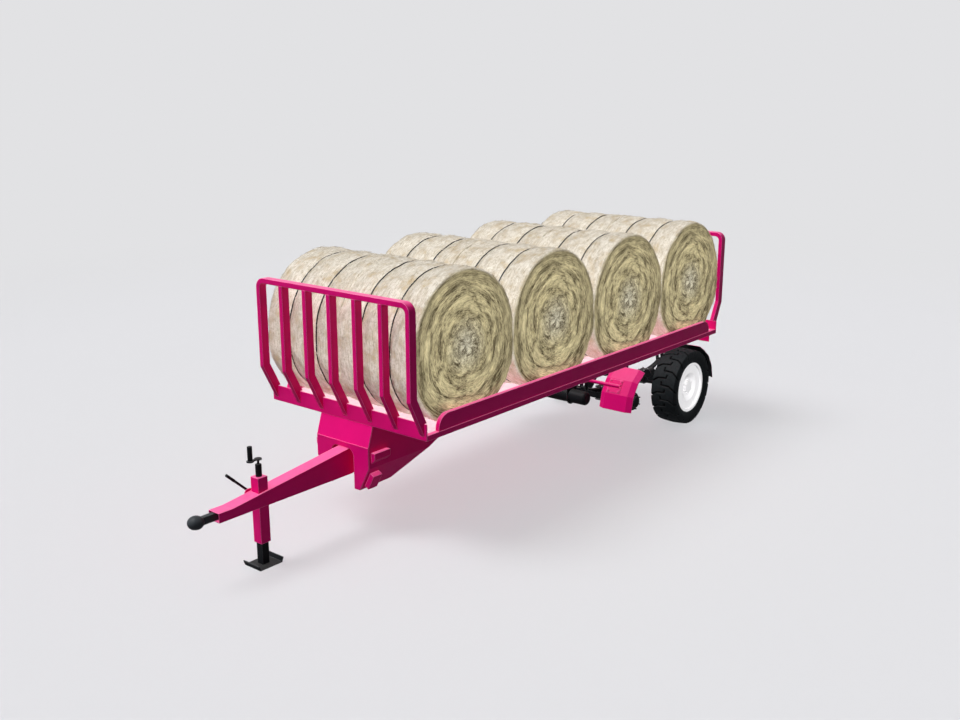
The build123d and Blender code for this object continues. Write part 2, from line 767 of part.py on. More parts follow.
# Wheels on the rear axle
disc_y = rear_flange_y
flange_half = bead_half_width + rim_flange_width
rim_outline = [
    (rim_flange_radius, flange_half),
    (rim_flange_radius, bead_half_width),
    (rim_barrel_radius + rim_wall, bead_half_width),
    (rim_barrel_radius + rim_wall, -bead_half_width),
    (rim_flange_radius, -bead_half_width),
    (rim_flange_radius, -flange_half),
    (rim_barrel_radius, -flange_half),
]
nave = disc_y - wheel_y
disc_foot = nave + disc_bulge_depth
cap_floor = nave + hub_nose_length + fit_gap
for side_name, side in side_names:
    centre_x = axle_x["rear"]
    wheel_axis = Axis((centre_x, 0, axle_height), (0, 1, 0))
    wheel_plane = Plane(origin=(centre_x, side * wheel_y, axle_height), x_dir=(1, 0, 0), z_dir=(0, 0, side))
    with BuildPart() as rim:
        with BuildSketch(wheel_plane):
            Polygon(
                *rim_outline,
                (rim_barrel_radius, disc_foot),
                (disc_bulge_radius, disc_foot),
                (hub_flange_radius + disc_thickness, nave),
                (hub_pilot_radius + fit_gap, nave),
                (hub_pilot_radius + fit_gap, cap_floor),
                (0, cap_floor),
                (0, cap_floor + hub_cap_wall),
                (hub_cap_radius, cap_floor + hub_cap_wall),
                (hub_cap_radius, nave + disc_thickness),
                (hub_flange_radius + disc_thickness, nave + disc_thickness),
                (disc_bulge_radius, disc_foot + disc_thickness),
                (rim_barrel_radius, disc_foot + disc_thickness),
                (rim_barrel_radius, flange_half),
            )
        revolve(axis=wheel_axis)
        with BuildSketch(Plane.XZ.offset(-side * disc_y)):
            with Locations((centre_x, axle_height)):
                with PolarLocations(stud_circle / 2, stud_count, start_angle=stud_places[0]):
                    Circle(stud_radius + stud_clearance)
        extrude(amount=-side * disc_thickness, mode=Mode.SUBTRACT)
    save(rim, f"rim_{side_name}")

    with BuildPart() as tyre:
        with BuildSketch(wheel_plane):
            with BuildLine():
                seat = rim_barrel_radius + rim_wall + fit_gap
                bead = bead_half_width - fit_gap
                lip = rim_flange_radius + fit_gap
                shoulder = tyre_radius - tread_edge_drop
                Polyline((seat, -bead), (seat, bead), (lip, bead), (lip, flange_half))
                ThreePointArc(
                    (lip, flange_half), (bulge_radius, tyre_width / 2), (shoulder, tread_half_width)
                )
                ThreePointArc(
                    (shoulder, tread_half_width), (tyre_radius, 0), (shoulder, -tread_half_width)
                )
                ThreePointArc(
                    (shoulder, -tread_half_width), (bulge_radius, -tyre_width / 2), (lip, -flange_half)
                )
                Polyline((lip, -flange_half), (lip, -bead), (seat, -bead))
            make_face()
        revolve(axis=wheel_axis)
    save(tyre, f"tyre_{side_name}")

# Leaf springs: stacked arcs that curl up to an eye at each end of the top leaf
spring_radius = (spring_half_length ** 2 + spring_rise_height ** 2) / (2 * spring_rise_height)
spring_bottom = axle_top + spring_seat_height
spring_top = spring_bottom + leaf_count * leaf_thickness
spring_centre_z = spring_top - leaf_thickness / 2 + spring_radius
eye_z = spring_top - leaf_thickness / 2 + spring_rise_height
eye_angle = degrees(atan2(spring_half_length, spring_radius - spring_rise_height))
with BuildPart() as springs:
    for centre_x in axle_x.values():
        with BuildSketch(Plane.XZ.offset(-longeron_y)):
            for i in range(leaf_count):
                leaf_inner = spring_radius + (i - 0.5) * leaf_thickness
                leaf_angle = eye_angle - degrees(i * leaf_step_length / spring_radius)
                leaf_centre = (centre_x, spring_centre_z)
                leaf_start = -90 - leaf_angle
                with BuildLine():
                    inner = CenterArc(leaf_centre, leaf_inner, leaf_start, 2 * leaf_angle)
                    outer = CenterArc(leaf_centre, leaf_inner + leaf_thickness, leaf_start, 2 * leaf_angle)
                    Line(inner @ 0, outer @ 0)
                    Line(inner @ 1, outer @ 1)
                make_face()
            with Locations((centre_x, axle_top + spring_seat_height)):
                Rectangle(spring_seat_length, 2 * spring_seat_height)
            eyes = [(centre_x - spring_half_length, eye_z), (centre_x + spring_half_length, eye_z)]
            with Locations(*eyes):
                Circle(spring_eye_radius)
                Circle(spring_pin_radius + fit_gap, mode=Mode.SUBTRACT)
        extrude(amount=spring_width / 2, both=True)
    mirror(about=Plane.XZ)
save(springs, "leaf_springs")

# Hangers: paired cheeks with a pin through the spring's eye, under the longerons
rocker_outer = spring_width / 2 + 2 * cheek_gap + cheek_thickness
rocker_x = tandem_x
rocker_z = eye_z + rocker_drop
end_hangers = (axle_x["front"] + spring_half_length, axle_x["rear"] - spring_half_length)
hanger_table = [
    # x, height of the pin, pin radius, eye radius, inner half gap
    (end_hangers[0], eye_z, spring_pin_radius, hanger_eye_radius, spring_width / 2 + cheek_gap),
    (rocker_x, rocker_z, rocker_pin_radius, rocker_eye_radius, rocker_outer),
    (end_hangers[1], eye_z, spring_pin_radius, hanger_eye_radius, spring_width / 2 + cheek_gap),
]
with BuildPart() as hangers:
    for pin_x, pin_z, pin_radius, eye_radius, half_gap in hanger_table:
        for direction in (-1, 1):
            with BuildSketch(Plane.XZ.offset(-longeron_y - direction * half_gap)):
                Polygon(
                    (pin_x - hanger_top_length / 2, longeron_bottom),
                    (pin_x - eye_radius, pin_z),
                    (pin_x + eye_radius, pin_z),
                    (pin_x + hanger_top_length / 2, longeron_bottom),
                )
                with Locations((pin_x, pin_z)):
                    Circle(eye_radius)
            extrude(amount=-direction * cheek_thickness)
        with BuildSketch(Plane.XZ.offset(-longeron_y)):
            with Locations((pin_x, pin_z)):
                Circle(pin_radius)
        extrude(amount=half_gap, both=True)
    mirror(about=Plane.XZ)
save(hangers, "spring_hangers")

# Equalisers: rockers between the springs' inner ends, on the middle hangers' pins
with BuildPart() as equalisers:
    rocker_half = axle_spacing / 2 - spring_half_length
    rocker_ends = [(rocker_x - rocker_half, eye_z), (rocker_x + rocker_half, eye_z)]
    for direction in (-1, 1):
        with BuildSketch(Plane.XZ.offset(-longeron_y - direction * (spring_width / 2 + cheek_gap))):
            Polygon(rocker_ends[0], rocker_ends[1], (rocker_x, rocker_z + rocker_eye_radius))
            with Locations(*rocker_ends, (rocker_x, rocker_z)):
                Circle(rocker_eye_radius)
        extrude(amount=-direction * cheek_thickness)
    with BuildSketch(Plane.XZ.offset(-longeron_y)):
        with Locations(*rocker_ends):
            Circle(spring_pin_radius)
        with Locations((rocker_x, rocker_z)):
            Circle(rocker_eye_radius - cheek_gap)
    extrude(amount=spring_width / 2 + cheek_gap, both=True)
    with BuildSketch(Plane.XZ.offset(-longeron_y)):
        with Locations((rocker_x, rocker_z)):
            Circle(rocker_pin_radius + fit_gap)
    extrude(amount=spring_width, both=True, mode=Mode.SUBTRACT)
    mirror(about=Plane.XZ)
save(equalisers, "equalisers")

# Spring clamps: a plate over the spring and one under the axle, drawn together by four rods
with BuildPart() as clamps:
    rod_y = spring_width / 2 + clamp_rod_gap + clamp_rod_radius
    rod_x = axle_size / 2 + clamp_rod_gap + clamp_rod_radius
    clamp_length = 2 * (rod_x + 2 * clamp_rod_radius)
    clamp_width = 2 * (rod_y + 2 * clamp_rod_radius)
    plate_lift = spring_radius - sqrt(spring_radius ** 2 - (clamp_length / 2) ** 2) + fit_gap
    clamp_bottom = axle_height - axle_size / 2 - clamp_plate_thickness
    clamp_top = spring_top + plate_lift
    for centre_x in axle_x.values():
        for plate_z in (clamp_bottom, clamp_top):
            with BuildSketch(Plane.XY.offset(plate_z)):
                with Locations((centre_x, longeron_y)):
                    Rectangle(clamp_length, clamp_width)
            extrude(amount=clamp_plate_thickness)
        with BuildSketch(Plane.XY.offset(clamp_bottom)):
            with Locations((centre_x, longeron_y)):
                with GridLocations(2 * rod_x, 2 * rod_y, 2, 2):
                    Circle(clamp_rod_radius)
        extrude(amount=clamp_top + 2 * clamp_plate_thickness - clamp_bottom)
    mirror(about=Plane.XZ)
save(clamps, "spring_clamps")

# Brake chambers on brackets that stand on the axles
with BuildPart() as brake_chambers:
    chamber_z = axle_top + brake_chamber_lift_height
    for centre_x in axle_x.values():
        bracket_x = centre_x + axle_size / 2
        with BuildSketch(Plane.YZ.offset(bracket_x)):
            with Locations((brake_chamber_y, (chamber_z + axle_height) / 2)):
                Rectangle(2 * brake_chamber_radius, chamber_z - axle_height)
            with Locations((brake_chamber_y, chamber_z)):
                Circle(brake_chamber_radius)
        extrude(amount=brake_bracket_thickness)
        with BuildSketch(Plane.YZ.offset(bracket_x + brake_bracket_thickness)):
            with Locations((brake_chamber_y, chamber_z)):
                Circle(brake_chamber_radius)
        extrude(amount=brake_chamber_length)
    mirror(about=Plane.XZ)
save(brake_chambers, "brake_chambers")

# Air tank across the frame, in two plates that hang from the longerons
tank_x = front_x - tank_set_back
tank_z = rail_bottom - tank_drop
with BuildPart() as air_tank:
    with BuildSketch(Plane.XZ):
        with Locations((tank_x, tank_z)):
            Circle(tank_radius)
    extrude(amount=tank_half_length, both=True)
    fillet(air_tank.edges().filter_by(GeomType.CIRCLE), tank_end_radius)
save(air_tank, "air_tank")

with BuildPart() as tank_brackets:
    bracket_half = tank_radius + tank_bracket_margin
    with BuildSketch(Plane.XZ.offset(-tank_bracket_y + tank_bracket_thickness)):
        with Locations((tank_x, (longeron_bottom + tank_z) / 2)):
            Rectangle(2 * bracket_half, longeron_bottom - tank_z)
        with Locations((tank_x, tank_z)):
            Circle(bracket_half)
            Circle(tank_radius + fit_gap, mode=Mode.SUBTRACT)
    extrude(amount=-tank_bracket_thickness)
    mirror(about=Plane.XZ)
save(tank_brackets, "air_tank_brackets")


# Mudguards: three flat facets round the tyre, with both edges folded down
def guard_points(centre_x, forward, radius):
    """Corners of the folded guard, from its lower edge up, for a guard ahead (1) or behind (-1)."""
    angles = [radians(guard_first_angle + i * guard_facet_angle) for i in range(guard_facets + 1)]
    return [(centre_x + forward * radius * cos(a), axle_height + radius * sin(a)) for a in angles]


for name, forward in (("front", 1), ("rear", -1)):
    centre_x = axle_x[name]
    guard_sections = (
        # y, fall of the folded edge
        (guard_inner_y, guard_lip_drop),
        (guard_inner_y + guard_lip_width, 0),
        (guard_outer_y - guard_lip_width, 0),
        (guard_outer_y, guard_lip_drop),
    )
    with BuildPart() as guards:
        for section_y, fall in guard_sections:
            skin = guard_points(centre_x, forward, guard_radius - fall)
            skin_inner = guard_points(centre_x, forward, guard_radius - fall - guard_thickness)
            with BuildSketch(Plane.XZ.offset(-section_y)):
                Polygon(*skin, *reversed(skin_inner))
        loft(ruled=True)
        mirror(about=Plane.XZ)
    save(guards, f"mudguards_{name}")

# Mudguard arms: a tube out from the longeron to a saddle on the guard's middle facet
with BuildPart() as guard_arms:
    for name, forward in (("front", 1), ("rear", -1)):
        centre_x = axle_x[name]
        middle = radians(guard_first_angle + (arm_facet + 0.5) * guard_facet_angle)
        facet_radius = guard_radius * cos(radians(guard_facet_angle / 2))
        arm_distance = facet_radius + arm_saddle_thickness + arm_radius
        arm_x = centre_x + forward * arm_distance * cos(middle)
        arm_z = axle_height + arm_distance * sin(middle)
        saddle_y = guard_outer_y - arm_end_margin - arm_saddle_length / 2
        plate_top = rail_bottom
        plate_bottom = arm_z - arm_radius * 2
        with BuildSketch(Plane.XZ.offset(-longeron_edge)):
            with Locations((arm_x, (plate_top + plate_bottom) / 2)):
                Rectangle(arm_plate_length, plate_top - plate_bottom)
        extrude(amount=-arm_plate_thickness)
        with BuildSketch(Plane.XZ.offset(-longeron_edge - arm_plate_thickness)):
            with Locations((arm_x, arm_z)):
                Circle(arm_radius)
                Circle(arm_radius - arm_wall, mode=Mode.SUBTRACT)
        extrude(amount=-(guard_outer_y - arm_end_margin - longeron_edge - arm_plate_thickness))
        saddle_plane = Plane(
            origin=(
                centre_x + forward * facet_radius * cos(middle),
                saddle_y,
                axle_height + facet_radius * sin(middle),
            ),
            x_dir=(0, 1, 0),
            z_dir=(forward * cos(middle), 0, sin(middle)),
        )
        with BuildSketch(saddle_plane):
            Rectangle(arm_saddle_length, arm_saddle_width)
        extrude(amount=arm_saddle_thickness + arm_wall / 2)
    mirror(about=Plane.XZ)
save(guard_arms, "mudguard_arms")

# Tail lamps on plates below the rear end beam
with BuildPart() as lamp_plates:
    plate_back = end_beam_rear
    with BuildSketch(Plane.YZ.offset(plate_back)):
        with Locations((lamp_y, rail_bottom - lamp_plate_height / 2)):
            Rectangle(lamp_plate_width, lamp_plate_height)
    extrude(amount=lamp_plate_thickness)
    mirror(about=Plane.XZ)
save(lamp_plates, "lamp_plates")

with BuildPart() as tail_lamps:
    with BuildSketch(Plane.YZ.offset(plate_back)):
        with Locations((lamp_y, rail_bottom - lamp_plate_height / 2)):
            RectangleRounded(lamp_width, lamp_height, lamp_edge_radius)
    extrude(amount=-lamp_depth)
    mirror(about=Plane.XZ)
save(tail_lamps, "tail_lamps")

# Round bales lie across the deck in pairs, pressed a little flat where they meet and on the deck
load_length = deck_length + 2 * (gate_lean_length - gate_tube_depth - bale_end_gap)
bale_pitch = load_length / bale_rows
bale_radius = (bale_pitch + bale_press_height) / 2
bale_width = inner_half_width - bale_side_gap - bale_gap / 2
bale_centre_z = deck_top + bale_radius - bale_flat_height
deck_middle = (front_x + rear_x) / 2
for row in range(bale_rows):
    bale_x = deck_middle + ((bale_rows - 1) / 2 - row) * bale_pitch
    for side_name, side in side_names:
        with BuildPart() as bale:
            with BuildSketch(Plane.XZ.offset(-side * bale_gap / 2)):
                with Locations((bale_x, bale_centre_z)):
                    Circle(bale_radius)
            extrude(amount=-side * bale_width)
            chamfer(bale.edges().filter_by(GeomType.CIRCLE), bale_rim_width, bale_rim_drop)
            with BuildSketch(Plane.XZ):
                with Locations((bale_x, deck_top + bale_radius)):
                    Rectangle(bale_pitch - bale_gap, 2 * bale_radius)
            extrude(amount=2 * bale_width, both=True, mode=Mode.INTERSECT)
        save(bale, f"bale_{row + 1}_{side_name}")
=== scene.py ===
"""Bale trailer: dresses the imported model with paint, straw, rubber and fasteners, and sets the stage.

All lengths are metres in the part's own frame: +X forward along the drawbar, +Y to the trailer's left, +Z up.
"""

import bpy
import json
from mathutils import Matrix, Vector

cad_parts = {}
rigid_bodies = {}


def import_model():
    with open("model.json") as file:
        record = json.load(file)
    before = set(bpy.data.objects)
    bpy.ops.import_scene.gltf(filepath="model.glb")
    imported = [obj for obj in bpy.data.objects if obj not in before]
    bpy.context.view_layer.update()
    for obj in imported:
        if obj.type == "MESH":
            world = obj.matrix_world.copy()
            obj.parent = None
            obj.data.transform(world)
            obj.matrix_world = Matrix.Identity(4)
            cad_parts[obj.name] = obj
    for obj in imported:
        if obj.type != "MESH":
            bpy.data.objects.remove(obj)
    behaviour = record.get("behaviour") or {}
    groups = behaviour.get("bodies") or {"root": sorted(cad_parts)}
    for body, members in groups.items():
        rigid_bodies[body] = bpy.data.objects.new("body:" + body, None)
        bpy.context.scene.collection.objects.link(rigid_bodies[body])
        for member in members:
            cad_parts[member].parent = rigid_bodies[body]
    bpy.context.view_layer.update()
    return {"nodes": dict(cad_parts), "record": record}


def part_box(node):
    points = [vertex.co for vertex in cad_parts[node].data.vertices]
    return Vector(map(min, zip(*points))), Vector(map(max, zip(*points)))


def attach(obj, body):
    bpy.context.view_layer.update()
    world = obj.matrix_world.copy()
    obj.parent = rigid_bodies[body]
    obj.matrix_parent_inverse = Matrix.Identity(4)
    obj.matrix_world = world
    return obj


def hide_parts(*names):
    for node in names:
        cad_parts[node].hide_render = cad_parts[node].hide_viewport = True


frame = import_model()

import json
import math

import bpy
import numpy as np
from bpy.props import FloatProperty, IntProperty, PointerProperty, StringProperty
from mathutils import Vector

bl_info = {
    "name": "Bale Trailer Dresser",
    "version": (1, 0, 0),
    "blender": (4, 5, 0),
    "location": "View3D > Sidebar > Bale Trailer",
    "description": "Builds the visible pieces, finishes and stage of a tandem bale trailer",
    "category": "Object",
}

TAU = 2 * math.pi
SIDES = (("left", 1), ("right", -1))


# Finishes: one helper adds a node, one turns a hex colour to linear

def linear(hex_colour):
    """sRGB hex text to a linear RGBA tuple by the standard transfer curve."""
    steps = [int(hex_colour[i:i + 2], 16) / 255 for i in (1, 3, 5)]
    return tuple(c / 12.92 if c <= 0.04045 else ((c + 0.055) / 1.055) ** 2.4 for c in steps) + (1.0,)


def add(tree, kind, links=None, values=None, **settings):
    """Add one node.

    settings are its own options, values its sockets' constants and links its sockets' sources.
    """
    made = tree.nodes.new(kind)
    for name, value in settings.items():
        setattr(made, name, value)
    for socket, value in (values or {}).items():
        made.inputs[socket].default_value = value
    for socket, source in (links or {}).items():
        tree.links.new(source, made.inputs[socket])
    return made


# Sockets of the colour Mix node, whose names repeat for each kind of value
MIX_SHARE, MIX_FIRST, MIX_SECOND, MIX_RESULT = 0, 6, 7, 2


def new_finish(name):
    """An empty node material; returns the material, its tree, its output and its object coordinates."""
    if name in bpy.data.materials:
        raise RuntimeError(f"a material named {name} is there already")
    material = bpy.data.materials.new(name)
    material.use_nodes = True
    tree = material.node_tree
    tree.nodes.clear()
    out = add(tree, "ShaderNodeOutputMaterial")
    return material, tree, out, add(tree, "ShaderNodeTexCoord").outputs["Object"]


def powder_coat(name, colour, edge_highlight_colour, dust_colour, dust_and_top_light_share, roughness, hollow=None):
    """Powder-coated steel: an even baked film with a painted highlight on its edges, paler where it lies
    level.

    The eye gets one clean colour, a fine pale line along every edge, which is a painted highlight, and a
    paler top face, which on the pink steel is partly dust and partly painted top light. Edges are taken 12 mm
    round.
    Orange peel is about 1.5 mm on the real film, drawn at 9 mm so that it shows. hollow is the colour of a
    guard's hollow side and the middle of its axle: faces that look towards that axle get that colour.
    """
    material, tree, out, place = new_finish(name)
    cloud = add(tree, "ShaderNodeTexNoise", {"Vector": place},
                {"Scale": 1 / 0.45, "Detail": 4.0, "Roughness": 0.6})
    shade = add(tree, "ShaderNodeMapRange", {"Value": cloud.outputs["Fac"]},
                {"From Min": 0.3, "From Max": 0.7, "To Min": 0.95, "To Max": 1.05})
    tint = add(tree, "ShaderNodeHueSaturation", {"Value": shade.outputs["Result"]}, {"Color": linear(colour)})
    true_normal = add(tree, "ShaderNodeNewGeometry").outputs["Normal"]
    edge = add(tree, "ShaderNodeBevel", None, {"Radius": 0.012}, samples=8)
    # Painted highlight: where the rounded bevel normal turns away from the true normal, on outer and hollow
    # edges alike, the edge colour is mixed in as a pale line.
    turn = add(tree, "ShaderNodeVectorMath", {0: edge.outputs["Normal"], 1: true_normal},
               operation="DOT_PRODUCT")
    thin = add(tree, "ShaderNodeMapRange", {"Value": turn.outputs["Value"]},
               {"From Min": 0.99, "From Max": 0.84, "To Min": 0.0, "To Max": 1.0})
    edge_highlighted = add(tree, "ShaderNodeMix", data_type="RGBA", values={MIX_SECOND: linear(edge_highlight_colour)},
                links={MIX_SHARE: thin.outputs["Result"], MIX_FIRST: tint.outputs["Color"]})
    # Faces that lie level take the dust colour. On the black paint and the rims this is plain dust. On the
    # pink steel it is a pale pink that is partly dust and partly painted top light. On the deck it is chaff
    # and painted top light.
    facing = add(tree, "ShaderNodeSeparateXYZ", {"Vector": true_normal})
    level = add(tree, "ShaderNodeMapRange", {"Value": facing.outputs["Z"]},
                {"From Min": 0.25, "From Max": 1.0, "To Min": 0.0, "To Max": 1.0})
    lying = add(tree, "ShaderNodeMath", {0: level.outputs["Result"]}, {1: 3.0}, operation="POWER")
    speck = add(tree, "ShaderNodeTexNoise", {"Vector": place},
                {"Scale": 1 / 0.06, "Detail": 6.0, "Roughness": 0.7})
    patch = add(tree, "ShaderNodeMapRange", {"Value": speck.outputs["Fac"]},
                {"From Min": 0.35, "From Max": 0.7, "To Min": 0.75 * dust_and_top_light_share, "To Max": dust_and_top_light_share})
    dust = add(tree, "ShaderNodeMath", {0: lying.outputs["Value"], 1: patch.outputs["Result"]},
               operation="MULTIPLY")
    film = add(tree, "ShaderNodeMix", data_type="RGBA", values={MIX_SECOND: linear(dust_colour)},
               links={MIX_SHARE: dust.outputs["Value"], MIX_FIRST: edge_highlighted.outputs[MIX_RESULT]})
    if hollow:
        hollow_colour, axle = hollow
        from_axle = add(tree, "ShaderNodeVectorMath", {0: place}, {1: axle}, operation="SUBTRACT")
        flat_way = add(tree, "ShaderNodeVectorMath", {0: from_axle.outputs["Vector"]}, {1: (1.0, 0.0, 1.0)},
                       operation="MULTIPLY")
        away = add(tree, "ShaderNodeVectorMath", {0: flat_way.outputs["Vector"], 1: true_normal},
                   operation="DOT_PRODUCT")
        inside = add(tree, "ShaderNodeMapRange", {"Value": away.outputs["Value"]},
                     {"From Min": -0.1, "From Max": -0.2, "To Min": 0.0, "To Max": 1.0})
        film = add(tree, "ShaderNodeMix", data_type="RGBA", values={MIX_SECOND: linear(hollow_colour)},
                   links={MIX_SHARE: inside.outputs["Result"], MIX_FIRST: film.outputs[MIX_RESULT]})
    peel = add(tree, "ShaderNodeTexNoise", {"Vector": place}, {"Scale": 1 / 0.009, "Detail": 1.0})
    bump = add(tree, "ShaderNodeBump", {"Height": peel.outputs["Fac"], "Normal": edge.outputs["Normal"]},
               {"Strength": 0.05, "Distance": 0.001})
    gloss = add(tree, "ShaderNodeMapRange", {"Value": speck.outputs["Fac"]},
                {"From Min": 0.3, "From Max": 0.7, "To Min": roughness - 0.05, "To Max": roughness + 0.1})
    surface = add(tree, "ShaderNodeBsdfPrincipled", {
        "Base Color": film.outputs[MIX_RESULT], "Roughness": gloss.outputs["Result"],
        "Normal": bump.outputs["Normal"]}, {"Specular IOR Level": 0.1})
    tree.links.new(surface.outputs["BSDF"], out.inputs["Surface"])
    return material


def tyre_rubber(name, colour, groove_shade_colour, dust_colour):
    """Vulcanised rubber: charcoal and matt, a little dusty on the lugs, with painted shade that makes the
    grooves of the tread black.

    The groove attribute is 1 at the bottom of a tread groove. Dust patches are 50 mm, grit is drawn at 4 mm.
    """
    material, tree, out, place = new_finish(name)
    groove = add(tree, "ShaderNodeAttribute", attribute_name="groove")
    grain = add(tree, "ShaderNodeTexNoise", {"Vector": place},
                {"Scale": 1 / 0.05, "Detail": 6.0, "Roughness": 0.65})
    grey = add(tree, "ShaderNodeMapRange", {"Value": grain.outputs["Fac"]},
               {"From Min": 0.4, "From Max": 0.75, "To Min": 0.0, "To Max": 0.2})
    lug = add(tree, "ShaderNodeMix", {MIX_SHARE: grey.outputs["Result"]},
              {MIX_FIRST: linear(colour), MIX_SECOND: linear(dust_colour)}, data_type="RGBA")
    # Painted shade: the grooves take the near-black groove colour in place of the rubber's own.
    film = add(tree, "ShaderNodeMix", {MIX_SHARE: groove.outputs["Fac"], MIX_FIRST: lug.outputs[MIX_RESULT]},
               {MIX_SECOND: linear(groove_shade_colour)}, data_type="RGBA")
    grit = add(tree, "ShaderNodeTexNoise", {"Vector": place}, {"Scale": 1 / 0.004, "Detail": 2.0})
    bump = add(tree, "ShaderNodeBump", {"Height": grit.outputs["Fac"]}, {"Strength": 0.15, "Distance": 0.001})
    surface = add(tree, "ShaderNodeBsdfPrincipled",
                  {"Base Color": film.outputs[MIX_RESULT], "Normal": bump.outputs["Normal"]},
                  {"Roughness": 0.62, "IOR": 1.52, "Specular IOR Level": 0.1})
    tree.links.new(surface.outputs["BSDF"], out.inputs["Surface"])
    return material


def baled_straw(name, barrel, barrel_dark, brown, end, end_dark, heart):
    """Baled straw: stalks 4 mm thick laid round the roll, bleached on the barrel and olive at the ends.

    The UV map is in metres, round the roll and along its outline, so fibres are stretched along U. They are
    drawn 14 mm wide so that they show, and tufts 90 mm wide. Flecks on the barrel are 35 mm. The end
    attribute runs from 0 on the barrel to 1 on the flat ends, and reach from 0 at the middle of an end to 1
    at its rim: the heart of the roll is paler and its rim darker.
    """
    material, tree, out, place = new_finish(name)
    wrap = add(tree, "ShaderNodeUVMap", uv_map="wrap").outputs["UV"]
    stalk = add(tree, "ShaderNodeMapping", {"Vector": wrap}, {"Scale": (1 / 0.12, 1 / 0.014, 1.0)})
    fibre = add(tree, "ShaderNodeTexNoise", {"Vector": stalk.outputs["Vector"]},
                {"Scale": 1.0, "Detail": 5.0, "Roughness": 0.68, "Distortion": 0.9})
    tuft = add(tree, "ShaderNodeMapping", {"Vector": wrap}, {"Scale": (1 / 0.5, 1 / 0.09, 1.0)})
    clump = add(tree, "ShaderNodeTexNoise", {"Vector": tuft.outputs["Vector"]},
                {"Scale": 1.0, "Detail": 4.0, "Roughness": 0.6, "Distortion": 0.8})
    fleck = add(tree, "ShaderNodeTexNoise", {"Vector": place},
                {"Scale": 1 / 0.035, "Detail": 5.0, "Roughness": 0.7, "Distortion": 0.4})
    weather = add(tree, "ShaderNodeTexNoise", {"Vector": place},
                  {"Scale": 1 / 0.14, "Detail": 6.0, "Roughness": 0.72})
    wound = add(tree, "ShaderNodeMath", {0: fibre.outputs["Fac"], 1: clump.outputs["Fac"]}, operation="ADD")
    flecked = add(tree, "ShaderNodeMath", {0: fibre.outputs["Fac"], 1: fleck.outputs["Fac"]}, operation="ADD")
    end_depth = add(tree, "ShaderNodeMapRange", {"Value": wound.outputs["Value"]},
                    {"From Min": 0.80, "From Max": 1.19, "To Min": 0.0, "To Max": 1.0})
    side_depth = add(tree, "ShaderNodeMapRange", {"Value": flecked.outputs["Value"]},
                     {"From Min": 0.80, "From Max": 1.10, "To Min": 0.0, "To Max": 1.0})
    stain = add(tree, "ShaderNodeMapRange", {"Value": weather.outputs["Fac"]},
                {"From Min": 0.50, "From Max": 0.66, "To Min": 0.0, "To Max": 0.7})
    side = add(tree, "ShaderNodeMix", {MIX_SHARE: side_depth.outputs["Result"]},
               {MIX_FIRST: linear(barrel_dark), MIX_SECOND: linear(barrel)}, data_type="RGBA")
    side = add(tree, "ShaderNodeMix", {MIX_SHARE: stain.outputs["Result"],
                                       MIX_FIRST: side.outputs[MIX_RESULT]},
               {MIX_SECOND: linear(brown)}, data_type="RGBA")
    reach = add(tree, "ShaderNodeAttribute", attribute_name="reach").outputs["Fac"]
    middle = add(tree, "ShaderNodeMapRange", {"Value": reach},
                 {"From Min": 0.40, "From Max": 0.05, "To Min": 0.0, "To Max": 0.8})
    pale = add(tree, "ShaderNodeMix", {MIX_SHARE: middle.outputs["Result"]},
               {MIX_FIRST: linear(end), MIX_SECOND: linear(heart)}, data_type="RGBA")
    rim = add(tree, "ShaderNodeMapRange", {"Value": reach},
              {"From Min": 0.78, "From Max": 0.97, "To Min": 1.0, "To Max": 0.6})
    contrast = add(tree, "ShaderNodeMath", {0: end_depth.outputs["Result"], 1: rim.outputs["Result"]},
                   operation="MULTIPLY")
    face = add(tree, "ShaderNodeMix", {MIX_SHARE: contrast.outputs["Value"],
                                       MIX_SECOND: pale.outputs[MIX_RESULT]},
               {MIX_FIRST: linear(end_dark)}, data_type="RGBA")
    both = add(tree, "ShaderNodeMix", data_type="RGBA", links={
        MIX_SHARE: add(tree, "ShaderNodeAttribute", attribute_name="end").outputs["Fac"],
        MIX_FIRST: side.outputs[MIX_RESULT], MIX_SECOND: face.outputs[MIX_RESULT]})
    fade = add(tree, "ShaderNodeMapRange", {"Value": weather.outputs["Fac"]},
               {"From Min": 0.35, "From Max": 0.68, "To Min": 1.05, "To Max": 0.88})
    tone = add(tree, "ShaderNodeHueSaturation", {"Color": both.outputs[MIX_RESULT],
                                                 "Value": fade.outputs["Result"]})
    bump = add(tree, "ShaderNodeBump", {"Height": flecked.outputs["Value"]},
               {"Strength": 0.6, "Distance": 0.010})
    surface = add(tree, "ShaderNodeBsdfPrincipled",
                  {"Base Color": tone.outputs["Color"], "Normal": bump.outputs["Normal"]},
                  {"Roughness": 0.85, "IOR": 1.4, "Specular IOR Level": 0.1})
    tree.links.new(surface.outputs["BSDF"], out.inputs["Surface"])
    return material


def small_part(name, colour, roughness, metallic, grain, spread):
    """A small part's finish: one colour broken up by noise of the given grain, in shade and in gloss."""
    material, tree, out, place = new_finish(name)
    noise = add(tree, "ShaderNodeTexNoise", {"Vector": place},
                {"Scale": 1 / grain, "Detail": 4.0, "Roughness": 0.6})
    shade = add(tree, "ShaderNodeMapRange", {"Value": noise.outputs["Fac"]},
                {"From Min": 0.3, "From Max": 0.7, "To Min": 1 - spread, "To Max": 1 + spread})
    tint = add(tree, "ShaderNodeHueSaturation", {"Value": shade.outputs["Result"]}, {"Color": linear(colour)})
    gloss = add(tree, "ShaderNodeMapRange", {"Value": noise.outputs["Fac"]},
                {"From Min": 0.3, "From Max": 0.7, "To Min": roughness * 0.85, "To Max": roughness * 1.15})
    surface = add(tree, "ShaderNodeBsdfPrincipled",
                  {"Base Color": tint.outputs["Color"], "Roughness": gloss.outputs["Result"]},
                  {"Metallic": metallic})
    tree.links.new(surface.outputs["BSDF"], out.inputs["Surface"])
    return material


def finish_named(name):
    """A finish that the paint operator has made."""
    return bpy.data.materials[name]


# Shapes: grids of points worked out as whole arrays

